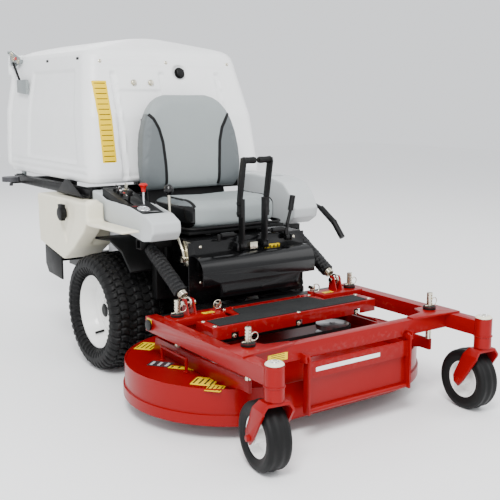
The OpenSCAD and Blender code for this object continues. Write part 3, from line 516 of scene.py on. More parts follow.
def grid_mesh(name: str, points: Array, close_u: bool = False, close_v: bool = False,
              keep: Array | None = None, caps: bool = False) -> Mesh:
    """Makes a quad surface from a grid of points.

    The face between samples (i, j) and (i+1, j+1) takes the four neighbouring points, with the
    index wrapping where the direction is closed.

    Args:
        name: the mesh's name.
        points: array (rows, columns, 3).
        close_u: join the last row to the first.
        close_v: join the last column to the first.
        keep: boolean array of faces to keep.
        caps: close the two end rows of a surface whose columns wrap.

    Returns:
        The mesh, with UV running 0 to 1 along columns and rows.
    """
    rows, cols = points.shape[:2]
    i = np.arange(rows if close_u else rows - 1)
    j = np.arange(cols if close_v else cols - 1)
    ii, jj = (a.ravel() for a in np.meshgrid(i, j, indexing="ij"))
    i2, j2 = (ii + 1) % rows, (jj + 1) % cols
    quads = np.stack([ii * cols + jj, ii * cols + j2, i2 * cols + j2, i2 * cols + jj], 1)
    if keep is not None:
        chosen = keep.ravel()
        quads, ii, jj = quads[chosen], ii[chosen], jj[chosen]
    mesh = bpy.data.meshes.new(name)
    mesh.vertices.add(rows * cols)
    mesh.vertices.foreach_set("co", points.astype(np.float32).ravel())
    mesh.loops.add(quads.size)
    mesh.loops.foreach_set("vertex_index", quads.astype(np.int32).ravel())
    mesh.polygons.add(len(quads))
    mesh.polygons.foreach_set("loop_start", np.arange(0, quads.size, 4, dtype=np.int32))
    uv = mesh.uv_layers.new(name="UVMap")
    u = np.stack([jj, jj + 1, jj + 1, jj], 1) / max(1, len(j))
    v = np.stack([ii, ii, ii + 1, ii + 1], 1) / max(1, len(i))
    uv.data.foreach_set("uv", np.stack([u, v], 2).astype(np.float32).ravel())
    mesh.update(calc_edges=True)
    work = bmesh.new()
    work.from_mesh(mesh)
    if caps:
        work.verts.ensure_lookup_table()
        for first in (0, (rows - 1) * cols):
            work.faces.new([work.verts[first + k] for k in range(cols)])
    bmesh.ops.remove_doubles(work, verts=work.verts, dist=1e-6)
    loose = [v for v in work.verts if not v.link_faces]
    bmesh.ops.delete(work, geom=loose, context="VERTS")
    bmesh.ops.recalc_face_normals(work, faces=work.faces)
    work.to_mesh(mesh)
    work.free()
    return mesh


def axis_frame(axis: Vector) -> Array:
    """Makes a right-handed frame about a direction.

    Args:
        axis: the direction.

    Returns:
        Rows side, up and axis, each of length 1.
    """
    a = Vector(axis).normalized()
    helper = Vector((0, 0, 1)) if abs(a.z) < 0.9 else Vector((1, 0, 0))
    side = helper.cross(a).normalized()
    return np.array([side, a.cross(side), a])


def revolve(name: str, centre: Vector, axis: Vector, profile: Array, around: int = 96,
            height: Callable[[Array, Array], Array] | None = None, close: bool = False) -> Mesh:
    """Turns a profile about an axis.

    Point (i, k) is centre + axis * a_k + (r_k + height(t_i, a_k)) * (cos t_i, sin t_i), with
    t_i = 2 pi i / around.

    Args:
        name: the mesh's name.
        centre: a point on the axis.
        axis: the axis's direction.
        profile: array (n, 2) of radius and place along the axis.
        around: samples round the axis.
        height: extra radius as a function of angle and place along the axis.
        close: join the profile's end to its start.

    Returns:
        The mesh.
    """
    t = np.arange(around) * 2 * np.pi / around
    side, up, along = axis_frame(axis)
    r = np.repeat(profile[None, :, 0], around, 0)
    a = np.repeat(profile[None, :, 1], around, 0)
    if height is not None:
        r = r + height(np.repeat(t[:, None], len(profile), 1), a)
    points = (np.array(centre)[None, None] + a[..., None] * along
              + r[..., None] * (np.cos(t)[:, None, None] * side + np.sin(t)[:, None, None] * up))
    return grid_mesh(name, points, close_u=True, close_v=close)


def smooth_profile(corners: Sequence[tuple[float, float]], samples: int = 40, rounds: int = 3) -> Array:
    """Rounds a profile: even samples along the corners' line, averaged with their neighbours.

    Args:
        corners: points of the profile.
        samples: how many points to give.
        rounds: how often to average.

    Returns:
        Array (samples, 2).
    """
    c = np.array(corners, float)
    steps = np.r_[0, np.cumsum(np.linalg.norm(np.diff(c, axis=0), axis=1))]
    s = np.linspace(0, steps[-1], samples)
    p = np.stack([np.interp(s, steps, c[:, k]) for k in (0, 1)], 1)
    for _ in range(rounds):
        p[1:-1] = 0.25 * p[:-2] + 0.5 * p[1:-1] + 0.25 * p[2:]
    return p


def sweep(name: str, path: Array, radius: Array | float, around: int = 20) -> Mesh:
    """A round bar along a path.

    Point (i, k) is path_i + radius_i * (cos t_k * side_i + sin t_k * up_i), where the frame at
    each sample is square to the path.

    Args:
        name: the mesh's name.
        path: array (n, 3) of the bar's middle line.
        radius: one radius, or one for each sample.
        around: sides of the bar.

    Returns:
        The mesh, closed at both ends.
    """
    path = np.asarray(path, float)
    tangent = np.gradient(path, axis=0)
    tangent /= np.linalg.norm(tangent, axis=1)[:, None]
    helper = np.array([0.0, 0.0, 1.0]) if np.abs(tangent[:, 2]).max() < 0.95 else np.array([0.81, 0.59, 0.05])
    side = np.cross(tangent, helper)
    side /= np.linalg.norm(side, axis=1)[:, None]
    up = np.cross(side, tangent)
    t = np.arange(around) * 2 * np.pi / around
    r = np.broadcast_to(radius, (len(path),))[:, None, None]
    ring = np.cos(t)[None, :, None] * side[:, None] + np.sin(t)[None, :, None] * up[:, None]
    points = path[:, None] + r * ring
    return grid_mesh(name, points, close_v=True, caps=True)


def curve_through(corners: Sequence[Sequence[float]], samples: int = 60, rounds: int = 6) -> Array:
    """Rounds a line in space: even samples, averaged with their neighbours.

    Args:
        corners: points of the line.
        samples: how many points to give.
        rounds: how often to average.

    Returns:
        Array (samples, 3).
    """
    c = np.array(corners, float)
    steps = np.r_[0, np.cumsum(np.linalg.norm(np.diff(c, axis=0), axis=1))]
    s = np.linspace(0, steps[-1], samples)
    p = np.stack([np.interp(s, steps, c[:, k]) for k in range(3)], 1)
    for _ in range(rounds):
        p[1:-1] = 0.25 * p[:-2] + 0.5 * p[1:-1] + 0.25 * p[2:]
    return p


def step(x: Array, low: float, high: float) -> Array:
    """Smooth step: 0 at low, 1 at high, t*t*(3 - 2t) between."""
    t = np.clip((x - low) / (high - low), 0, 1)
    return t * t * (3 - 2 * t)


def plateau(x: Array, low: float, high: float, edge: float) -> Array:
    """1 between low and high, falling smoothly to 0 within edge outside them."""
    return step(x, low - edge, low) * (1 - step(x, high, high + edge))


def joined(name: str, meshes: Sequence[Mesh]) -> Mesh:
    """Joins meshes.

    Args:
        name: the new mesh's name.
        meshes: the meshes to join.

    Returns:
        One mesh with all their faces.
    """
    work = bmesh.new()
    for m in meshes:
        work.from_mesh(m)
    result = bpy.data.meshes.new(name)
    work.to_mesh(result)
    work.free()
    return result


def hex_head(place: Point, normal: Point, radius: float) -> Mesh:
    """Makes a washer with a chamfered hexagon head on it.

    The head's rim radius is radius / cos(angle to the nearest flat's middle).

    Args:
        place: middle of the washer's underside.
        normal: the bolt's direction, outwards.
        radius: half the head's width.

    Returns:
        The mesh.
    """
    outline = smooth_profile([(0, 0.9), (0.72, 0.9), (1.0, 0.78), (1.0, 0.22)], 10, 0)
    washer = np.array([(1.35, 0.22), (1.4, 0.16), (1.4, 0.0)])
    profile = np.concatenate([outline, washer]) * radius

    def flats(t: Array, a: Array) -> Array:
        """Extra radius of the head's corners."""
        grow = 1 / np.cos((t + np.pi / 6) % (np.pi / 3) - np.pi / 6) - 1
        return radius * grow * plateau(a, radius * 0.24, radius * 0.80, 1e-4)

    return revolve("hex head", Vector(place), Vector(normal), profile, 48, flats)


def dome_head(place: Point, normal: Point, radius: float) -> Mesh:
    """Makes a low dome: height 0.45 r * sqrt(1 - (rho / r)^2), with a thin skirt.

    Args:
        place: middle of its underside.
        normal: its direction, outwards.
        radius: its radius.

    Returns:
        The mesh.
    """
    rho = np.linspace(0, 1, 12)
    profile = np.stack([rho, 0.45 * np.sqrt(1 - rho ** 2) + 0.08], 1)
    profile = np.concatenate([profile, [(1.0, 0.0)]]) * radius
    return revolve("dome head", Vector(place), Vector(normal), profile, 32)


def plate(place: Point, normal: Point, along: Point, size: tuple[float, float],
          corner: float = 0.12, thick: float = 0.0006) -> Mesh:
    """Makes a thin film on a flat face, its UV square running over it.

    Point (i, j) is place + across * w * x_j + along * h * y_i, with each corner cut in by a
    quarter circle; the outermost row drops to 0.1 mm over the face.

    Args:
        place: middle of the film, on the face.
        normal: the face's direction, outwards.
        along: the film's upward direction.
        size: its width and height.
        corner: corner radius as a share of the shorter side.
        thick: its thickness.

    Returns:
        The mesh.
    """
    n, a = Vector(normal).normalized(), Vector(along).normalized()
    across = np.array(a.cross(n).normalized())
    x, y = np.meshgrid(np.linspace(-0.5, 0.5, 9), np.linspace(-0.5, 0.5, 13))
    r = corner * min(size)
    px, py = x * size[0], y * size[1]
    over_x = np.clip(np.abs(px) - (size[0] / 2 - r), 0, None)
    over_y = np.clip(np.abs(py) - (size[1] / 2 - r), 0, None)
    shrink = np.where((over_x > 0) & (over_y > 0), r / np.maximum(np.hypot(over_x, over_y), r), 1.0)
    px = np.sign(px) * (np.abs(px) - over_x * (1 - shrink))
    py = np.sign(py) * (np.abs(py) - over_y * (1 - shrink))
    rim = (np.abs(x) > 0.49) | (np.abs(y) > 0.49)
    lift = np.where(rim, 0.0001, thick)
    offsets = px[..., None] * across + py[..., None] * np.array(a) + lift[..., None] * np.array(n)
    return grid_mesh("film", np.array(place) + offsets)


# ---------------------------------------------------------------- sub-assemblies


@dataclass
class Wheels:
    """Tyres with their tread, and the small fittings of the drive wheels."""

    shop: Shop
    drive_width: float = 0.25
    slim_width: float = 0.086
    broad_width: float = 0.096
    broad_from: float = 0.13
    drive_bead: float = 0.160
    small_bead: float = 0.070
    lug_count: int = 46
    lug_height: float = 0.009
    rib_height: float = 0.0012
    axle: tuple[float, float] = (0.120, 0.254)
    cap_x: float = 0.428
    stem_x: float = 0.432
    stem_ring: float = 0.122
    stem_angle: float = -62.0

    def tyre(self, node: str, axis: Sequence[float], bead: float, lugs: int = 0) -> None:
        """Builds one tyre that keeps the CAD tyre's size.

        The carcass is a rounded profile. With lugs, the tread is lug_height * block(t, a):
        blocks repeat round the tyre in seven staggered rows, each row's phase running with |a|
        so that the rows make a zig-zag. Without, ribs are rib_height * cos(18 a / w).

        Args:
            node: the CAD tyre it replaces.
            axis: direction of the axle.
            bead: radius where the tyre meets the rim.
            lugs: blocks round the tyre, or 0 for a ribbed tyre.
        """
        low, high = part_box(node)
        radius = (high.z - low.z) / 2
        small = self.broad_width if radius > self.broad_from else self.slim_width
        width = self.drive_width if lugs else small
        h = width / 2
        sink = self.lug_height if lugs else 0.0
        r = radius - sink
        side = [(bead, 0.76), (bead + 0.004, 0.84), (bead + 0.016, 0.93), ((r + bead) / 2, 1.0),
                (r - h * 0.20, 0.97), (r - h * 0.05, 0.84), (r, 0.5)]
        corners = [(d, -a * h) for d, a in side] + [(r + 0.001, 0)] + [(d, a * h) for d, a in side[::-1]]

        def tread(t: Array, a: Array) -> Array:
            """Height of the blocks at angle t and place a."""
            s = a / h
            row = np.clip(np.floor((s + 1) * 3.5), 0, 6)
            across = (s + 1) * 3.5 - row
            lean = 0.35 * np.abs(across - 0.5) * np.where(row % 2 == 0, 1, -1)
            phase = t * lugs / (2 * np.pi) + row * 0.5 + lean
            block = plateau(phase % 1.0, 0.16, 0.72, 0.10) * plateau(across, 0.10, 0.90, 0.08)
            return sink * block * (np.abs(s) < 0.985)

        def ribs(t: Array, a: Array) -> Array:
            """Height of the ribs at place a."""
            return self.rib_height * np.cos(18 * a / width) * (np.abs(a) < h * 0.7)

        form = revolve(node + " carcass", (low + high) / 2, Vector(axis).normalized(),
                       smooth_profile(corners, 120 if lugs else 70, 3), 12 * lugs if lugs else 128,
                       tread if lugs else ribs)
        self.shop.add(f"{node}_tread", form, "tyre", self.shop.body_of[node], node, smooth=45)

    def build(self) -> None:
        """Builds all five tyres, the valve stems and the hub caps."""
        for side in SIDES.values():
            self.tyre(f"{side}_tyre", (1, 0, 0), self.drive_bead, self.lug_count)
            self.tyre(f"{side}_caster_tyre", self.shop.joint[f"{side}_caster_roll"]["axis"], self.small_bead)
        self.tyre("tail_tyre", (1, 0, 0), self.small_bead)
        angle = math.radians(self.stem_angle)
        hub = smooth_profile([(0.0, 0.010), (0.018, 0.010), (0.028, 0.006), (0.033, 0.0)], 14, 1)
        for s, side in SIDES.items():
            foot = np.array([s * self.stem_x, self.axle[0] + self.stem_ring * math.cos(angle),
                             self.axle[1] + self.stem_ring * math.sin(angle)])
            tip = foot + np.array([s * 0.020, 0.004, -0.006])
            stem = sweep("stem", np.linspace(foot - [s * 0.02, 0, 0], tip, 12), 0.0055, 16)
            self.shop.add(f"{side}_valve", stem, "black_plastic", f"{side}_drive_wheel")
            cap = revolve("hub cap", Vector((s * self.cap_x, *self.axle)), Vector((s, 0, 0)), hub, 48)
            self.shop.add(f"{side}_hub_cap", cap, "black_steel", f"{side}_drive_wheel")


@dataclass
class Hopper:
    """White grass hopper: a shaped shell over the CAD body, and its small fittings."""

    shop: Shop
    # height, half width, front, rear, corner radius
    levels: tuple[tuple[float, ...], ...] = (
        (0.8005, 0.415, 0.205, 1.165, 0.050), (0.8020, 0.436, 0.190, 1.180, 0.050),
        (0.8090, 0.448, 0.180, 1.188, 0.052), (0.8240, 0.455, 0.174, 1.191, 0.055),
        (0.8450, 0.457, 0.173, 1.192, 0.056), (1.0900, 0.442, 0.217, 1.192, 0.062),
        (1.3300, 0.401, 0.294, 1.192, 0.064), (1.3600, 0.394, 0.301, 1.188, 0.066),
        (1.3800, 0.382, 0.312, 1.178, 0.070), (1.3940, 0.362, 0.332, 1.164, 0.075),
        (1.4050, 0.330, 0.360, 1.150, 0.080), (1.4200, 0.262, 0.405, 1.140, 0.085),
        (1.4350, 0.180, 0.440, 1.130, 0.085), (1.4480, 0.085, 0.470, 1.120, 0.060),
        (1.4510, 0.030, 0.490, 1.110, 0.020), (1.4520, 0.0002, 0.500, 1.105, 0.0001))

    def ring(self, half: Array, front: Array, rear: Array, radius: Array) -> tuple[Array, Array, Array]:
        """X, Y and a segment number of each sample of a rounded rectangle, one row per level.

        Straight runs are front (0), right (2), rear (4), left (6); odd segments are quarter
        circles. Every run has its own fixed number of samples.

        Args:
            half: half width of each level.
            front: front edge of each level.
            rear: rear edge of each level.
            radius: corner radius of each level.

        Returns:
            X and Y, one row per level, and the segment number of each column.
        """
        straight, turn = 90, 9
        x0, x1, y0, y1 = -half + radius, half - radius, front + radius, rear - radius
        t = np.linspace(0, 1, straight, endpoint=False)[None]
        q = np.linspace(0, np.pi / 2, turn, endpoint=False)[None]
        c = [a[:, None] for a in (x0, x1, y0, y1, radius)]
        runs = [
            (c[1] + (c[0] - c[1]) * t, c[2] - c[4] + 0 * t),
            (c[0] - c[4] * np.sin(q), c[2] - c[4] * np.cos(q)),
            (c[0] - c[4] + 0 * t, c[2] + (c[3] - c[2]) * t),
            (c[0] - c[4] * np.cos(q), c[3] + c[4] * np.sin(q)),
            (c[0] + (c[1] - c[0]) * t, c[3] + c[4] + 0 * t),
            (c[1] + c[4] * np.sin(q), c[3] + c[4] * np.cos(q)),
            (c[1] + c[4] + 0 * t, c[3] + (c[2] - c[3]) * t),
            (c[1] + c[4] * np.cos(q), c[2] - c[4] * np.sin(q))]
        part = np.concatenate([np.full(r[0].shape[1], k) for k, r in enumerate(runs)])
        return np.concatenate([r[0] for r in runs], 1), np.concatenate([r[1] for r in runs], 1), part

    def shell(self) -> Mesh:
        """The shell, 9 mm thick, open at the rear mouth.

        Each side is pressed in by depth(y, z): 8.5 mm over a panel bounded by its front edge,
        which leans back as it rises, plus two 5 mm creases near the bottom. The front is
        pressed in by three upright grooves, a centre panel and a round pocket.

        Returns:
            The mesh.
        """
        table = np.array(self.levels)
        rows = (2, 3, 3, 4, 40, 44, 7, 5, 5, 5, 6, 6, 6, 3, 2)
        z = np.concatenate([np.linspace(table[k, 0], table[k + 1, 0], n, endpoint=False)
                            for k, n in enumerate(rows)] + [table[-1:, 0]])
        half, front, rear, radius = (np.interp(z, table[:, 0], table[:, k]) for k in range(1, 5))
        x, y, part = self.ring(half, front, rear, radius)
        zz = np.repeat(z[:, None], x.shape[1], 1)
        side = np.isin(part, (1, 2, 3, 5, 6, 7))[None]
        lean = 0.300 + (zz - 0.87) * 0.25
        panel = plateau(zz, 0.90, 1.285, 0.018) * step(y, lean, lean + 0.016) * (1 - step(y, 0.90, 0.916))
        crease = plateau(zz, 0.838, 0.846, 0.007) + plateau(zz, 0.868, 0.874, 0.006)
        press = 0.0085 * panel + 0.0050 * crease * plateau(y, 0.23, 1.14, 0.03)
        x = x - np.sign(x) * press * side
        face = np.isin(part, (0, 1, 7))[None]
        lines = sum(plateau(x, low, low + 0.016, 0.008) for low in (-0.292, -0.048, 0.255))
        groove = plateau(zz, 0.83, 1.275, 0.02) * lines
        centre = plateau(zz, 0.83, 1.20, 0.012) * plateau(x, -0.262, -0.066, 0.010)
        band = plateau(zz, 1.318, 1.346, 0.006)
        round_pocket = 1 - step(np.hypot(x - 0.060, zz - 1.286), 0.030, 0.040)
        y = y + (0.012 * groove + 0.006 * centre - 0.0015 * band + 0.010 * round_pocket) * face
        points = np.stack([x, y, zz], 2)
        mouth = (part[None] == 4) & (zz > 0.868) & (zz < 1.335) & (np.abs(x) < 0.345)
        form = grid_mesh("hopper form", points, close_v=True, keep=~mouth[:-1])
        return baked(form, ("SOLIDIFY", dict(thickness=0.009, offset=-1.0)))

    def strip(self, x: float, width: float, low: float, high: float) -> Mesh:
        """Makes a film on the front face, 1 mm proud of front(z) from the levels.

        Args:
            x: its middle.
            width: its width.
            low: its lower edge.
            high: its upper edge.

        Returns:
            The mesh.
        """
        table = np.array(self.levels)
        xx, zz = np.meshgrid(np.linspace(x - width / 2, x + width / 2, 9), np.linspace(low, high, 60))
        rim = (np.abs(xx - x) > width * 0.49) | (zz < low + 1e-4) | (zz > high - 1e-4)
        lift = np.where(rim, -0.001, 0.001)
        turn = np.interp(zz, table[:, 0], table[:, 4])
        half = np.interp(zz, table[:, 0], table[:, 1])
        over = np.clip(np.abs(xx) - (half - turn), 0, turn * 0.999)
        y = np.interp(zz, table[:, 0], table[:, 2]) + turn - np.sqrt(turn ** 2 - over ** 2) - lift
        return grid_mesh("strip", np.stack([xx, y, zz], 2))

    def floor(self) -> Mesh:
        """Makes the flat floor, with the inlet left out, inside the lower edge of the shell."""
        x, y = np.meshgrid(np.linspace(-0.420, 0.420, 85), np.linspace(0.200, 1.170, 98))
        points = np.stack([x, y, np.full_like(x, 0.8095)], 2)
        mx, my = (x[:-1, :-1] + x[1:, 1:]) / 2, (y[:-1, :-1] + y[1:, 1:]) / 2
        inlet = (np.abs(mx) < 0.140) & (my < 0.282)
        sheet = grid_mesh("hopper floor", points, keep=~inlet)
        return baked(sheet, ("SOLIDIFY", dict(thickness=0.009, offset=-1.0)))

    def build(self) -> None:
        """Builds the shell, floor, bolts, black films of painted shade for the slots, knob and warning strip.
        """
        add = self.shop.add
        add("hopper_skin", self.shell(), "white_plastic", "hopper", "hopper_shell", smooth=50)
        lugs = []
        for s in SIDES:
            outline = [(1.128, 0.758), (1.128, 0.812), (1.174, 0.812),
                       (1.174, 0.758), (1.160, 0.750), (1.140, 0.750)]
            ring = np.array([[(s * x, a, b) for a, b in outline] for x in (0.384, 0.396)])
            lugs.append(baked(grid_mesh("lug", ring, close_v=True, caps=True), bevel(0.003)))
        add("hopper_lugs", joined("hopper lugs", lugs), "grey_steel", "hopper")
        add("hopper_floor", self.floor(), "white_plastic", "hopper")
        bolts = [dome_head((x, 0.2935, 1.332), (0, -1, 0.25), 0.0085) for x in (-0.338, -0.006, 0.332)]
        bolts += [hex_head((x, 0.262, 1.240), (0, -1, 0.25), 0.010) for x in (-0.189, -0.103)]
        add("hopper_face_bolts", joined("face bolts", bolts), "zinc", "hopper")
        add("hopper_knob", hex_head((0.060, 0.284, 1.286), (0, -1, 0.3), 0.019), "black_plastic", "hopper")
        # The side slots are not cut: black films stand for them, painted shade where the openings would show
        # the dark inside.
        slots = [plate((s * 0.3985, y, 1.345), (s, 0, 0.25), (0, 0, 1), (0.030, 0.012), 0.45, 0.0012)
                 for s in SIDES for y in (0.745, 0.393)]
        add("hopper_slots", joined("slots", slots), "black_plastic", "hopper")
        add("hopper_warning_strip", self.strip(-0.356, 0.076, 0.890, 1.250), "warning_strip", "hopper")
        for s, side in SIDES.items():
            self.corner(s, side)

    def corner(self, s: int, side: str) -> None:
        """Dresses one rear corner: tag, bolts, spacers behind the plate, and the short strut."""
        add = self.shop.add
        tag = plate((s * 0.4158, 1.130, 1.372), (s, 0, 0), (0, 1, 0), (0.016, 0.034), 0.1, 0.0008)
        add(f"corner_tag_{side}", tag, "red_plastic", "hopper")
        bolts = [hex_head((s * 0.4152, y, z), (s, 0, 0), 0.009)
                 for y, z in ((1.090, 1.356), (1.160, 1.372), (1.180, 1.395))]
        add(f"corner_bolts_{side}", joined("corner bolts", bolts), "zinc", "hopper")
        outline = smooth_profile([(0.007, 0.0), (0.0105, 0.001), (0.0105, 0.018), (0.007, 0.019)], 16, 1)
        spacers = [revolve("spacer", Vector((s * 0.3915, y, z)), Vector((s, 0, 0)), outline, 32)
                   for y, z in ((1.090, 1.356), (1.165, 1.352))]
        add(f"corner_spacers_{side}", joined("spacers", spacers), "grey_steel", "hopper")
        line = np.linspace((s * 0.4300, 1.045, 1.262), (s * 0.4215, 1.150, 1.350), 20)
        add(f"door_strut_{side}", sweep("strut", line, 0.006, 16), "black_steel", "hopper")


@dataclass
class Mouldings:
    """Soft-edged plastic mouldings made from the CAD forms."""

    shop: Shop

    def soften(self, node: str, voxel: float, rounds: int) -> None:
        """Replaces a node with a voxel-remeshed copy whose edges are rounded by smoothing.

        Args:
            node: the CAD node.
            voxel: voxel size in metres.
            rounds: rounds of smoothing.
        """
        form = baked(self.shop.cad_copy(node), ("REMESH", dict(mode="VOXEL", voxel_size=voxel)),
                     ("SMOOTH", dict(factor=0.5, iterations=rounds)))
        if node == "fuel_tank":
            self.press_filler(form)
        form.shade_smooth()
        shop = self.shop
        shop.add(f"{node}_moulding", form, shop.slot_of[node], shop.body_of[node], node, smooth=None)

    def press_filler(self, form: Mesh) -> None:
        """Presses a shallow V into the tank's outer face below the filler.

        At height h over the V's foot the recess is 0.62 * h wide on each side of the filler's
        middle and 7 mm deep, with 8 mm shoulders.

        Args:
            form: the tank's mesh, changed in place.
        """
        low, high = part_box("fuel_cap")
        y0, foot = (low.y + high.y) / 2, low.z - 0.105
        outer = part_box("fuel_tank")[0].x
        co = np.empty(len(form.vertices) * 3, np.float32)
        form.vertices.foreach_get("co", co)
        points = co.reshape(-1, 3)
        rise = points[:, 2] - foot
        inside = 1 - step(np.abs(points[:, 1] - y0) - 0.62 * np.clip(rise, 0, 0.13), 0.0, 0.008)
        face = 1 - step(points[:, 0], outer + 0.008, outer + 0.020)
        points[:, 0] += 0.007 * inside * step(rise, 0.0, 0.006) * face
        form.vertices.foreach_set("co", points.ravel())
        form.update()

    def build(self) -> None:
        """Softens the tank, both side mouldings and the hopper's door."""
        self.soften("fuel_tank", 0.0050, 22)
        self.soften("right_console", 0.0030, 34)
        self.soften("left_fender", 0.0034, 34)
        self.soften("hopper_door", 0.0075, 8)


@dataclass
class Seat:
    """Cushion and back with a pale centre, darker sides and black stripes."""

    shop: Shop
    back_outline: tuple[tuple[float, float], ...] = (
        (0.766, 0.238), (0.785, 0.250), (0.82, 0.259), (0.88, 0.261), (0.95, 0.257), (1.02, 0.245),
        (1.08, 0.226), (1.125, 0.204), (1.158, 0.178), (1.178, 0.148), (1.190, 0.110))
    back_seam: tuple[tuple[float, float], ...] = (
        (0.74, 0.136), (0.88, 0.140), (0.98, 0.148), (1.04, 0.164), (1.085, 0.190), (1.115, 0.222),
        (1.20, 0.30))
    cushion_seam: float = 0.196
    frames: int = 20
    pressure: float = 4.0
    travel: float = 0.005
    skirt_z: float = 0.644

    def form(self, name: str, low: Point, high: Point, power: float,
             shape: Callable[[Array, Array], Array]) -> Mesh:
        """A stuffed form inside a box.

        The skin is a superellipsoid: each unit direction d is scaled by
        (|dx|^p + |dy|^p + |dz|^p)^(-1/p); shape(points, d) then bends it. Voxels even the mesh
        out and a cloth simulation gives it tension.

        Args:
            name: the mesh's name.
            low: the box's lowest corner.
            high: the box's highest corner.
            power: p; the higher, the squarer.
            shape: bends the points, given them and their directions.

        Returns:
            The mesh.
        """
        n = 60
        u, v = np.meshgrid(np.linspace(-np.pi / 2, np.pi / 2, n),
                           np.linspace(-np.pi, np.pi, 2 * n, endpoint=False), indexing="ij")
        d = np.stack([np.cos(u) * np.cos(v), np.cos(u) * np.sin(v), np.sin(u)], 2)
        d = d / (np.abs(d) ** power).sum(2, keepdims=True) ** (1 / power)
        low, high = np.array(low), np.array(high)
        points = (low + high) / 2 + d * (high - low) / 2
        mesh = grid_mesh(name, shape(points, d), close_v=True)
        mesh = baked(mesh, ("REMESH", dict(mode="VOXEL", voxel_size=0.0055)),
                     ("SMOOTH", dict(factor=0.5, iterations=5)))
        return self.inflate(mesh)

    def inflate(self, mesh: Mesh) -> Mesh:
        """Runs 20 frames of cloth with inner pressure, caps each point's travel and subdivides.

        Args:
            mesh: the pad before it is filled.

        Returns:
            The filled pad.
        """
        rest = np.empty(len(mesh.vertices) * 3, np.float32)
        mesh.vertices.foreach_get("co", rest)
        obj = bpy.data.objects.new("stuffing", mesh)
        bpy.context.scene.collection.objects.link(obj)
        cloth = obj.modifiers.new("Cloth", "CLOTH")
        cloth.settings.use_pressure = True
        cloth.settings.uniform_pressure_force = self.pressure
        cloth.settings.effector_weights.gravity = 0.0
        cloth.settings.quality = 4
        cloth.point_cache.frame_start, cloth.point_cache.frame_end = 1, self.frames
        scene = bpy.context.scene
        for frame_number in range(1, self.frames + 1):
            scene.frame_set(frame_number)
        graph = bpy.context.evaluated_depsgraph_get()
        result = bpy.data.meshes.new_from_object(obj.evaluated_get(graph), depsgraph=graph)
        bpy.data.objects.remove(obj)
        scene.frame_set(1)
        moved = np.empty_like(rest)
        result.vertices.foreach_get("co", moved)
        delta = (moved - rest).reshape(-1, 3)
        length = np.linalg.norm(delta, axis=1, keepdims=True)
        delta *= np.minimum(1.0, self.travel / np.maximum(length, 1e-9))
        result.vertices.foreach_set("co", (rest.reshape(-1, 3) + delta).astype(np.float32).ravel())
        result.update()
        return baked(result, ("SUBSURF", dict(levels=1, render_levels=1)))

    def panels(self, mesh: Mesh, finishes: Sequence[str], choose: Callable[[Array], Array]) -> None:
        """Gives each face one of several finishes.

        Args:
            mesh: the pad.
            finishes: the finishes, the first being the pad's own.
            choose: finish numbers for an array of face centres.
        """
        for name in finishes[1:]:
            mesh.materials.append(self.shop.paint.material(name))
        centres = np.empty(len(mesh.polygons) * 3, np.float32)
        mesh.polygons.foreach_get("center", centres)
        mesh.polygons.foreach_set("material_index", choose(centres.reshape(-1, 3)).astype(np.int32))

    def stripe(self, name: str, mesh: Mesh, path: Array, toward: Point, half: float) -> None:
        """Lays a sewn strip on the pad: every sample of path is dropped along toward onto the
        skin, and the strip's section is an ellipse of half-height 3.4 mm.

        Args:
            name: the strip's name.
            mesh: the pad.
            path: array (n, 3) of places over the skin.
            toward: direction of the drop.
            half: half the strip's width.
        """
        work = bmesh.new()
        work.from_mesh(mesh)
        tree = BVHTree.FromBMesh(work)
        work.free()
        aim = Vector(toward).normalized()
        spots = [tree.ray_cast(Vector(p) - aim * 0.25, aim) for p in path]
        hits = np.array([h[0] for h in spots if h[0] is not None])
        normals = np.array([h[1] for h in spots if h[0] is not None])
        for _ in range(3):
            hits[1:-1] = 0.25 * hits[:-2] + 0.5 * hits[1:-1] + 0.25 * hits[2:]
            normals[1:-1] = 0.25 * normals[:-2] + 0.5 * normals[1:-1] + 0.25 * normals[2:]
        normals /= np.linalg.norm(normals, axis=1)[:, None]
        along = np.gradient(hits, axis=0)
        across = np.cross(along, normals)
        across /= np.linalg.norm(across, axis=1)[:, None]
        t = np.linspace(0, 2 * np.pi, 16, endpoint=False)
        section = (half * np.cos(t)[None, :, None] * across[:, None]
                   + 0.0034 * np.sin(t)[None, :, None] * normals[:, None])
        strip = grid_mesh(name, hits[:, None] + section, close_v=True, caps=True)
        self.shop.add(name, strip, "black_plastic", "seat")

    def build(self) -> None:
        """Builds the cushion, the back, their stripes and the piping round the base."""
        outline = np.array(self.back_outline)

        def back(points: Array, d: Array) -> Array:
            """Gives the back its outline, its lean and wings that curl forward."""
            width = np.interp(points[..., 2], outline[:, 0], outline[:, 1])
            rise = (points[..., 2] - 0.766) / 0.424
            reach = np.maximum((1 - np.abs(d[..., 2]) ** 3.6), 1e-6) ** (1 / 3.6)
            x = np.clip(d[..., 0] / np.maximum(reach, 0.02), -1, 1) * width
            curl = 0.030 * np.abs(d[..., 0]) ** 3
            y = points[..., 1] + 0.046 * rise ** 1.3 - curl * (d[..., 1] < 0.3)
            return np.stack([x, y, points[..., 2]], 2)

        def cushion(points: Array, d: Array) -> Array:
            """Narrows the front, dips the middle and raises the sides."""
            front = np.clip((-0.05 - points[..., 1]) / 0.24, 0, 1)
            x = points[..., 0] * (1 - 0.07 * front ** 2)
            out = np.abs(d[..., 0])
            z = points[..., 2] + (d[..., 2] > 0) * (0.010 * out ** 2.5 - 0.006 * (1 - out))
            return np.stack([x, points[..., 1], z], 2)

        mesh = self.form("back form", (-0.268, 0.068, 0.766), (0.268, 0.132, 1.190), 3.6, back)
        edge = np.array(self.back_seam)

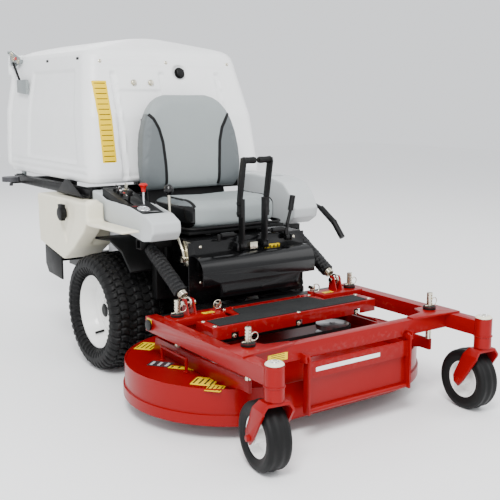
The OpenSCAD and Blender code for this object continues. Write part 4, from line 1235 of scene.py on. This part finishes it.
        def back_panel(c: Array) -> Array:
            """Pale between the seams, dark beyond them, black behind."""
            beyond = np.abs(c[:, 0]) > np.interp(c[:, 2], edge[:, 0], edge[:, 1])
            lean = 0.046 * np.clip((c[:, 2] - 0.766) / 0.424, 0, 1)
            shell = (c[:, 1] > 0.118 + lean) | (np.abs(c[:, 0]) > 0.262)
            return np.where(shell, 2, np.where(beyond, 1, 0))

        def cushion_panel(c: Array) -> Array:
            """Pale between the seams; beyond them dark above and black below."""
            beyond = np.abs(c[:, 0]) > self.cushion_seam
            return np.where(beyond & (c[:, 2] < 0.735), 2, np.where(beyond, 1, 0))

        pad = self.shop.add("back_pad", mesh, "light_vinyl", "seat", "seat_back", smooth=None)
        mesh.shade_smooth()
        self.panels(mesh, ("light_vinyl", "dark_vinyl", "gloss_black"), back_panel)
        for s, side in SIDES.items():
            z = np.linspace(0.785, 1.108, 90)
            path = np.stack([s * np.interp(z, edge[:, 0], edge[:, 1]), np.full_like(z, 0.05), z], 1)
            self.stripe(f"back_stripe_{side}", mesh, path, (0, 1, 0), 0.0075)
        mesh = self.form("cushion form", (-0.246, -0.296, 0.636), (0.246, 0.068, 0.752), 4.6, cushion)
        pad = self.shop.add("cushion_pad", mesh, "light_vinyl", "seat", "seat_cushion", smooth=None)
        mesh.shade_smooth()
        self.panels(mesh, ("light_vinyl", "dark_vinyl", "gloss_black"), cushion_panel)
        for s, side in SIDES.items():
            y = np.linspace(0.030, -0.262, 80)
            path = np.stack([np.full_like(y, s * self.cushion_seam), y, np.full_like(y, 0.75)], 1)
            self.stripe(f"cushion_stripe_{side}", mesh, path, (0, 0, -1), 0.0065)
        half = [(-0.240, 0.050), (-0.240, -0.262), (-0.215, -0.288)]
        corners = half + [(-x, y) for x, y in half[::-1]]
        skirt = curve_through([(x, y, self.skirt_z) for x, y in corners], 120, 5)
        self.shop.add("cushion_skirt", sweep("skirt", skirt, 0.0060, 14), "black_plastic", "seat")


@dataclass
class Springs:
    """Fabric sleeves over the lift springs, with the coil ends that show below them."""

    shop: Shop
    foot: tuple[float, float, float] = (0.368, -0.488, 0.401)
    head: tuple[float, float, float] = (0.368, -0.150, 0.598)
    sleeve: tuple[float, float] = (0.056, 0.334)
    sleeve_radius: float = 0.0245
    gather: float = 0.020
    puff: float = 0.0040
    coil: tuple[float, float] = (0.037, 0.030)
    coil_radius: float = 0.016
    coil_turns: int = 4
    wire: float = 0.0036

    def build(self) -> None:
        """Builds both sleeves and coils.

        The sleeve's radius is sleeve_radius + puff * sqrt(1 - q * q), q being the distance from
        the nearest gather's middle, plus two small sine folds. The coil is a helix.
        """
        place = np.linspace(*self.sleeve, 170)
        seam = np.abs(((place - self.sleeve[0]) / self.gather) % 1.0 - 0.5) * 2
        radius = self.sleeve_radius + self.puff * np.sqrt(np.clip(1 - seam ** 2, 0, 1))
        radius[[0, -1]] = 0.012
        profile = np.stack([radius, place], 1)

        def folds(t: Array, a: Array) -> Array:
            """Depth of the creases at angle t and place a."""
            return 0.0009 * np.sin(5 * t + 60 * a) + 0.0007 * np.sin(11 * t - 95 * a)

        t = np.linspace(0, 1, 150)
        turn = t[:, None] * 2 * np.pi * self.coil_turns
        for s, side in SIDES.items():
            mirror = Vector((s, 1, 1))
            foot, head = Vector(self.foot) * mirror, Vector(self.head) * mirror
            along = (head - foot).normalized()
            stands_for = ("lift_springs",) if side == "left" else ()
            self.shop.add(f"spring_sleeve_{side}", revolve("sleeve", foot, along, profile, 96, folds),
                          "sleeve_fabric", "chassis", *stands_for, smooth=60)
            a, b, c = axis_frame(along)
            line = (np.array(foot) + c * (self.coil[0] + self.coil[1] * t)[:, None]
                    + self.coil_radius * (np.cos(turn) * a + np.sin(turn) * b))
            self.shop.add(f"spring_coil_{side}", sweep("coil", line, self.wire, 12), "zinc", "chassis")


@dataclass
class Cockpit:
    """Gauge face, switches, grips, panel marks and the small labels of the driver's place."""

    shop: Shop
    panel_foot: tuple[float, float] = (-0.240, 0.704)
    panel_rise: float = 0.088
    panel_run: float = 0.370
    gauge: tuple[float, float] = (-0.380, -0.165)
    gauge_radius: float = 0.0205
    toggle_pitch: float = 0.032
    knob: tuple[float, float, float] = (-0.340, -0.092, 0.804)
    lever_x: float = -0.284
    bulkhead_y: float = -0.3652

    def spot(self, x: float, y: float, up: float = 0.0) -> tuple[Vector, Vector]:
        """Finds a place on the sloped panel.

        Args:
            x: place across.
            y: place along.
            up: height over the panel.

        Returns:
            The place and the panel's normal.
        """
        tilt = math.atan2(self.panel_rise, self.panel_run)
        z = self.panel_foot[1] + (y - self.panel_foot[0]) * self.panel_rise / self.panel_run
        normal = Vector((0, -math.sin(tilt), math.cos(tilt)))
        return Vector((x, y, z)) + normal * up, normal

    def dress_gauge(self) -> None:
        """Builds the hour gauge: face, bezel, lens and hand."""
        add, r = self.shop.add, self.gauge_radius
        place, normal = self.spot(*self.gauge, 0.0062)
        face = np.array([(0, 0.0004), (0.018, 0.0004), (r, 0.0)])
        add("gauge_dial", revolve("dial", place, normal, face, 48), "white_plastic", "chassis")
        bezel = smooth_profile([(r, 0.0), (r, 0.004), (0.0235, 0.0055), (0.0265, 0.003),
                                (0.0270, -0.006)], 20, 1)
        add("gauge_bezel", revolve("bezel", place, normal, bezel, 64), "chrome", "chassis")
        lens = smooth_profile([(0.0, 0.0042), (0.012, 0.0036), (r, 0.0018)], 14, 1)
        add("gauge_lens", revolve("lens", place, normal, lens, 48), "gauge_glass", "chassis")
        hand = Matrix.Rotation(0.7, 3, normal) @ Vector((1, 0, 0))
        start = place + normal * 0.0012
        line = np.linspace(start - hand * 0.004, start + hand * 0.015, 6)
        add("gauge_hand", sweep("hand", line, 0.0006, 8), "red_plastic", "chassis")

    def dress_panel(self) -> None:
        """Builds the toggle switches and the plain marks of the panel."""
        add = self.shop.add
        for k in range(3):
            y = 0.020 + self.toggle_pitch * k
            base, normal = self.spot(-0.385, y, 0.010)
            tip = base + normal * 0.020 + Vector((0, -0.008, 0))
            toggle = sweep("toggle", np.linspace(base, tip, 14), np.linspace(0.0026, 0.0042, 14), 16)
            add(f"toggle_{k + 1}", toggle, "chrome", "chassis")
            mark = plate(self.spot(-0.358, y, 0.0001)[0], normal, (1, 0, 0), (0.014, 0.010))
            add(f"toggle_mark_{k + 1}", mark, "red_plastic" if k == 1 else "white_plastic", "chassis")
        marks = (((-0.335, 0.030), (0.030, 0.022), "dark_label"),
                 ((-0.392, -0.112), (0.020, 0.014), "red_plastic"),
                 ((-0.345, -0.180), (0.044, 0.050), "dark_label"),
                 ((-0.335, -0.225), (0.050, 0.016), "white_plastic"))
        for n, (place, size, finish) in enumerate(marks):
            spot, normal = self.spot(*place, 0.0001)
            add(f"panel_mark_{n + 1}", plate(spot, normal, (0, 1, 0), size), finish, "chassis")

    def dress_levers(self) -> None:
        """Builds the drive levers' grips, the pull knob and the ball lever."""
        add, up = self.shop.add, Vector((0, 0, 1))
        grip = smooth_profile([(0.0, 0.0), (0.010, 0.001), (0.0135, 0.006), (0.0125, 0.030), (0.0135, 0.050),
                               (0.0145, 0.054), (0.0145, 0.058), (0.012, 0.060)], 60, 1)
        for s, side in SIDES.items():
            ring = revolve("grip", Vector((s * 0.0085, -0.422, 0.926)), Vector((s, 0, 0)), grip, 48,
                           lambda t, a: 0.0004 * np.sin(a * 1400))
            add(f"{side}_grip", ring, "black_plastic", f"{side}_drive_lever")
        x, y, z = self.knob
        shaft = np.linspace((x, y, 0.7165), (x, y, z + 0.0005), 8)
        add("knob_shaft", sweep("shaft", shaft, 0.0048, 24), "chrome", "knob")
        cap = smooth_profile([(0.0, 0.022), (0.010, 0.0215), (0.0175, 0.017), (0.0185, 0.012),
                              (0.0125, 0.006), (0.0095, -0.004), (0.0085, -0.016), (0.0, -0.016)], 60, 2)
        add("knob_cap", revolve("knob", Vector(self.knob), up, cap, 48), "red_plastic", "knob", "pull_knob")
        x = self.lever_x
        path = curve_through([(x, -0.320, 0.539), (x, -0.312, 0.566), (x, -0.212, 0.690),
                              (x, -0.205, 0.792)], 70, 8)
        boss = smooth_profile([(0.0062, -0.007), (0.0118, -0.0065), (0.0120, 0.0), (0.0118, 0.0055),
                               (0.0062, 0.006)], 24, 1)
        hub = revolve("hub", Vector((x, -0.320, 0.535)), Vector((1, 0, 0)), boss, 48)
        rod = joined("lever rod", [sweep("rod", path, 0.006, 24), hub])
        add("ball_lever_rod", rod, "zinc", "lift_lever", "ball_lever")
        ball = smooth_profile([(0.0, 0.0206), (0.006, 0.0198), (0.0145, 0.0148), (0.0205, 0.004),
                               (0.0195, -0.008), (0.0130, -0.0165), (0.0085, -0.0195), (0.0080, -0.024),
                               (0.0, -0.024)], 60, 2)
        form = revolve("ball", Vector((x, -0.205, 0.806)), up, ball, 48)
        add("ball_grip", form, "gloss_black", "lift_lever")

    def build(self) -> None:
        """Builds the panel's instruments, the levers' grips, the films and the bulkhead's bolts."""
        add, y = self.shop.add, self.bulkhead_y
        self.dress_gauge()
        self.dress_panel()
        self.dress_levers()
        side_film = plate((0.4306, -0.150, 0.740), (1, 0, 0), (0, 1, 0), (0.050, 0.036))
        add("fender_label", side_film, "dark_label", "chassis")
        face_film = plate((0.364, -0.2765, 0.7225), (0, -1, 0.55), (0, 0.55, 1), (0.040, 0.040))
        add("fender_face_label", face_film, "dark_label", "chassis")
        front_film = plate((0.122, y, 0.548), (0, -1, 0), (1, 0, 0), (0.034, 0.080))
        add("bulkhead_label", front_film, "yellow_label", "chassis")
        bolts = [dome_head((x, y, z), (0, -1, 0), 0.007) for x in (-0.235, 0.235) for z in (0.440, 0.585)]
        add("bulkhead_bolts", joined("bulkhead bolts", bolts), "zinc", "chassis")


@dataclass
class FrontEnd:
    """Bolts, labels, latches and cap discs of the carrier, tray, gate and deck."""

    shop: Shop
    tray_top: float = 0.3541
    tray_front: float = -0.703
    caster: tuple[float, float] = (0.486, -1.197)
    caster_top: float = 0.3668
    weld_radius: float = 0.0330
    post_x: float = 0.431
    posts: tuple[float, float] = (-0.977, -0.512)
    deck_top: float = 0.1853

    def dress_tray(self) -> None:
        """Builds the foot tray's bolts and the little supports under its front edge."""
        add = self.shop.add
        spots = [(x, y) for y in (-0.690, -0.610) for x in (-0.378, 0.378)]
        spots += [(0, -0.7015), (-0.214, -0.500), (0.214, -0.500)]
        domes = [dome_head((x, y, self.tray_top), (0, 0, 1), 0.0085) for x, y in spots]
        add("tray_bolts", joined("tray bolts", domes), "zinc", "footrest")
        corners = ((-0.013, 0.300), (0.013, 0.300), (0.013, 0.322), (-0.013, 0.322))
        brackets, nuts = [], []
        for x in (-0.300, 0.0, 0.300):
            ring = np.array([[(x + a, y, z) for a, z in corners] for y in (-0.7028, -0.6768)])
            brackets.append(baked(grid_mesh("bracket", ring, close_v=True, caps=True), bevel(0.002)))
            nuts.append(hex_head((x, self.tray_front, 0.311), (0, -1, 0), 0.006))
        add("tray_supports", joined("tray supports", brackets), "black_steel", "footrest")
        add("tray_support_bolts", joined("support bolts", nuts), "zinc", "footrest")

    def dress_side(self, s: int, side: str) -> None:
        """Builds one side's caster cap and weld, post collars and films."""
        add, up = self.shop.add, Vector((0, 0, 1))
        x, y = s * self.caster[0], self.caster[1]
        top = Vector((x, y, self.caster_top))
        disc = smooth_profile([(0.0, 0.008), (0.010, 0.008), (0.024, 0.0075), (0.029, 0.004),
                               (0.031, 0.0)], 26, 1)
        add(f"caster_cap_{side}", revolve("cap", top, up, disc, 64), "cream_plastic", "carrier")
        ring = smooth_profile([(0.0105, 0.0085), (0.0125, 0.0105), (0.0150, 0.0085), (0.0150, 0.006)], 16, 1)
        add(f"caster_cap_ring_{side}", revolve("cap ring", top, up, ring, 48), "chrome", "carrier")
        turn = np.linspace(0, 2 * np.pi, 120)
        bead = 0.0022 + 0.0005 * np.sin(turn * 30)
        weld = np.stack([x + self.weld_radius * np.cos(turn), y + self.weld_radius * np.sin(turn),
                         np.full_like(turn, 0.2975)], 1)
        add(f"caster_weld_{side}", sweep("weld", weld, bead, 10), "red_steel", "carrier")
        collar = smooth_profile([(0.0115, 0.0035), (0.018, 0.0040), (0.0245, 0.0020),
                                 (0.0255, -0.004), (0.0252, -0.010)], 20, 1)
        for k, post_y in enumerate(self.posts):
            form = revolve("collar ring", Vector((s * self.post_x, post_y, 0.372)), up, collar, 48)
            add(f"collar_ring_{side}_{k + 1}", form, "black_plastic", "carrier")
        film = plate((s * 0.300, -0.522, 0.3602), (0, 0, 1), (0, 1, 0), (0.050, 0.026))
        add(f"rear_plate_label_{side}", film, "yellow_label", "carrier")
        film = plate((s * 0.5112, -0.440, 0.340), (s, 0, 0), (0, 1, 0), (0.020, 0.036))
        add(f"rail_label_{side}", film, "yellow_label", "carrier")

    def dress_deck(self) -> None:
        """Lays the plain films on the deck's top."""
        films = (((-0.432, -0.265), (0.100, 0.075)), ((-0.470, -0.765), (0.085, 0.085)),
                 ((-0.478, -0.845), (0.070, 0.060)), ((-0.500, -0.500), (0.060, 0.090)),
                 ((-0.455, -0.590), (0.030, 0.110)), ((0.470, -0.790), (0.085, 0.085)))
        for k, (place, size) in enumerate(films):
            film = plate((*place, self.deck_top), (0, 0, 1), (0.62, -0.78, 0), size, 0.06)
            self.shop.add(f"deck_film_{k + 1}", film, "dark_label" if k == 3 else "yellow_label", "deck")

    def build(self) -> None:
        """Builds the small visible pieces at the front."""
        add = self.shop.add
        self.dress_tray()
        for s, side in SIDES.items():
            self.dress_side(s, side)
        self.dress_deck()
        bend = np.array([(0.001, -0.016, 0), (0.012, -0.008, 0.012), (0.012, 0.012, 0.020),
                         (0.004, 0.024, 0.010)])
        for k, y in enumerate((-0.665, -0.560)):
            wing = sweep("wing", curve_through(bend + (-0.4605, y, 0.318), 30), 0.004, 12)
            add(f"wing_latch_{k + 1}", wing, "zinc", "carrier")
        film = plate((-0.352, -1.0362, 0.322), (0, -1, 0), (0, 0, 1), (0.082, 0.026), 0.06)
        add("cross_tube_label", film, "yellow_label", "carrier")
        stripe = plate((-0.05, -1.0522, 0.256), (0, -1, 0), (0, 0, 1), (0.300, 0.016))
        add("gate_stripe", stripe, "white_plastic", "gate")


@dataclass
class Bodywork:
    """Every CAD piece that no other class draws, with rounded edges and its finish."""

    shop: Shop
    edge: float = 0.0010
    fine: dict[str, float] = field(default_factory=lambda: {
        "main_frame": 0.0025, "carrier_frame": 0.0022, "deck_shell": 0.0014, "foot_tray": 0.0014,
        "front_gate": 0.0018, "bulkhead": 0.0016, "engine_cowl": 0.006, "engine_block": 0.003,
        "battery": 0.004, "seat_shell": 0.0012, "hopper_frame": 0.0025, "control_panel": 0.003})
    glossy: dict[str, str] = field(default_factory=lambda: {
        "leg_shield": "gloss_black", "bulkhead": "gloss_black"})

    def build(self) -> None:
        """Copies each remaining node, bevels its sharp edges and gives it its finish."""
        shop = self.shop
        for node in sorted(shop.slot_of):
            if node in shop.taken:
                continue
            width = self.fine.get(node, self.edge)
            form = baked(shop.cad_copy(node), bevel(width), ("WEIGHTED_NORMAL", dict(keep_sharp=True)))
            finish = self.glossy.get(node, shop.slot_of[node])
            shop.add(f"{node}_finished", form, finish, shop.body_of[node], node, smooth=38)


@dataclass(frozen=True)
class Lamp:
    """A soft area light: where it stands, its size in metres and its power in watts."""

    name: str
    place: tuple[float, float, float]
    size: float
    power: float


@dataclass
class Studio:
    """Pale floor, soft light and the camera."""

    lamps: tuple[Lamp, ...] = (
        Lamp("key", (-3.0, -3.6, 5.6), 2.2, 520), Lamp("fill", (4.2, -2.6, 3.6), 4.0, 110),
        Lamp("rim", (0.5, 4.8, 4.6), 3.5, 160), Lamp("low front", (-2.6, -5.4, 1.4), 2.5, 45))
    aim: tuple[float, float, float] = (0, 0, 0.6)
    floor_half: float = 14.0
    camera_place: tuple[float, float, float] = (-1.9629, -3.1660, 1.1656)
    camera_turn: tuple[float, float, float] = (79.79, 0, -35.12)
    focal_length: float = 60.2
    sky: float = 1.25

    def build(self) -> None:
        """Places the floor, the area lights, the sky and the camera."""
        scene = bpy.context.scene
        spread = np.linspace(-self.floor_half, self.floor_half, 9)
        floor = grid_mesh("floor", np.stack([*np.meshgrid(spread, spread), np.zeros((9, 9))], 2))
        ground = bpy.data.objects.new("floor", floor)
        scene.collection.objects.link(ground)
        pale = bpy.data.materials.new("pale floor")
        pale.use_nodes = True
        surface = pale.node_tree.nodes["Principled BSDF"]
        surface.inputs["Base Color"].default_value = (0.95, 0.95, 0.95, 1)
        surface.inputs["Roughness"].default_value = 0.6
        floor.materials.append(pale)
        for lamp in self.lamps:
            light = bpy.data.lights.new(lamp.name, "AREA")
            light.size, light.energy = lamp.size, lamp.power
            stand = bpy.data.objects.new(lamp.name, light)
            stand.location = lamp.place
            look = Vector(self.aim) - Vector(lamp.place)
            stand.rotation_euler = look.to_track_quat("-Z", "Y").to_euler()
            scene.collection.objects.link(stand)
        world = bpy.data.worlds.new("pale studio")
        world.use_nodes = True
        world.node_tree.nodes["Background"].inputs["Color"].default_value = (0.95, 0.97, 1.0, 1)
        world.node_tree.nodes["Background"].inputs["Strength"].default_value = self.sky
        scene.world = world
        lens = bpy.data.cameras.new("camera")
        lens.lens, lens.sensor_width = self.focal_length, 36.0
        camera = bpy.data.objects.new("camera", lens)
        camera.location = self.camera_place
        camera.rotation_euler = [math.radians(angle) for angle in self.camera_turn]
        scene.collection.objects.link(camera)
        scene.camera = camera


def main() -> None:
    """Loads the frame, builds every sub-assembly in order and logs each piece."""
    logging.basicConfig(level=logging.INFO, format="%(message)s")
    shop = Shop(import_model())
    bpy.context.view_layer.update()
    for assembly in (Wheels, Hopper, Mouldings, Seat, Springs, Cockpit, FrontEnd, Bodywork):
        known = set(bpy.data.objects)
        assembly(shop).build()
        for piece in sorted(o.name for o in bpy.data.objects if o not in known):
            LOG.info("%s: %s", assembly.__name__, piece)
    Studio().build()


if __name__ == "__main__":
    main()
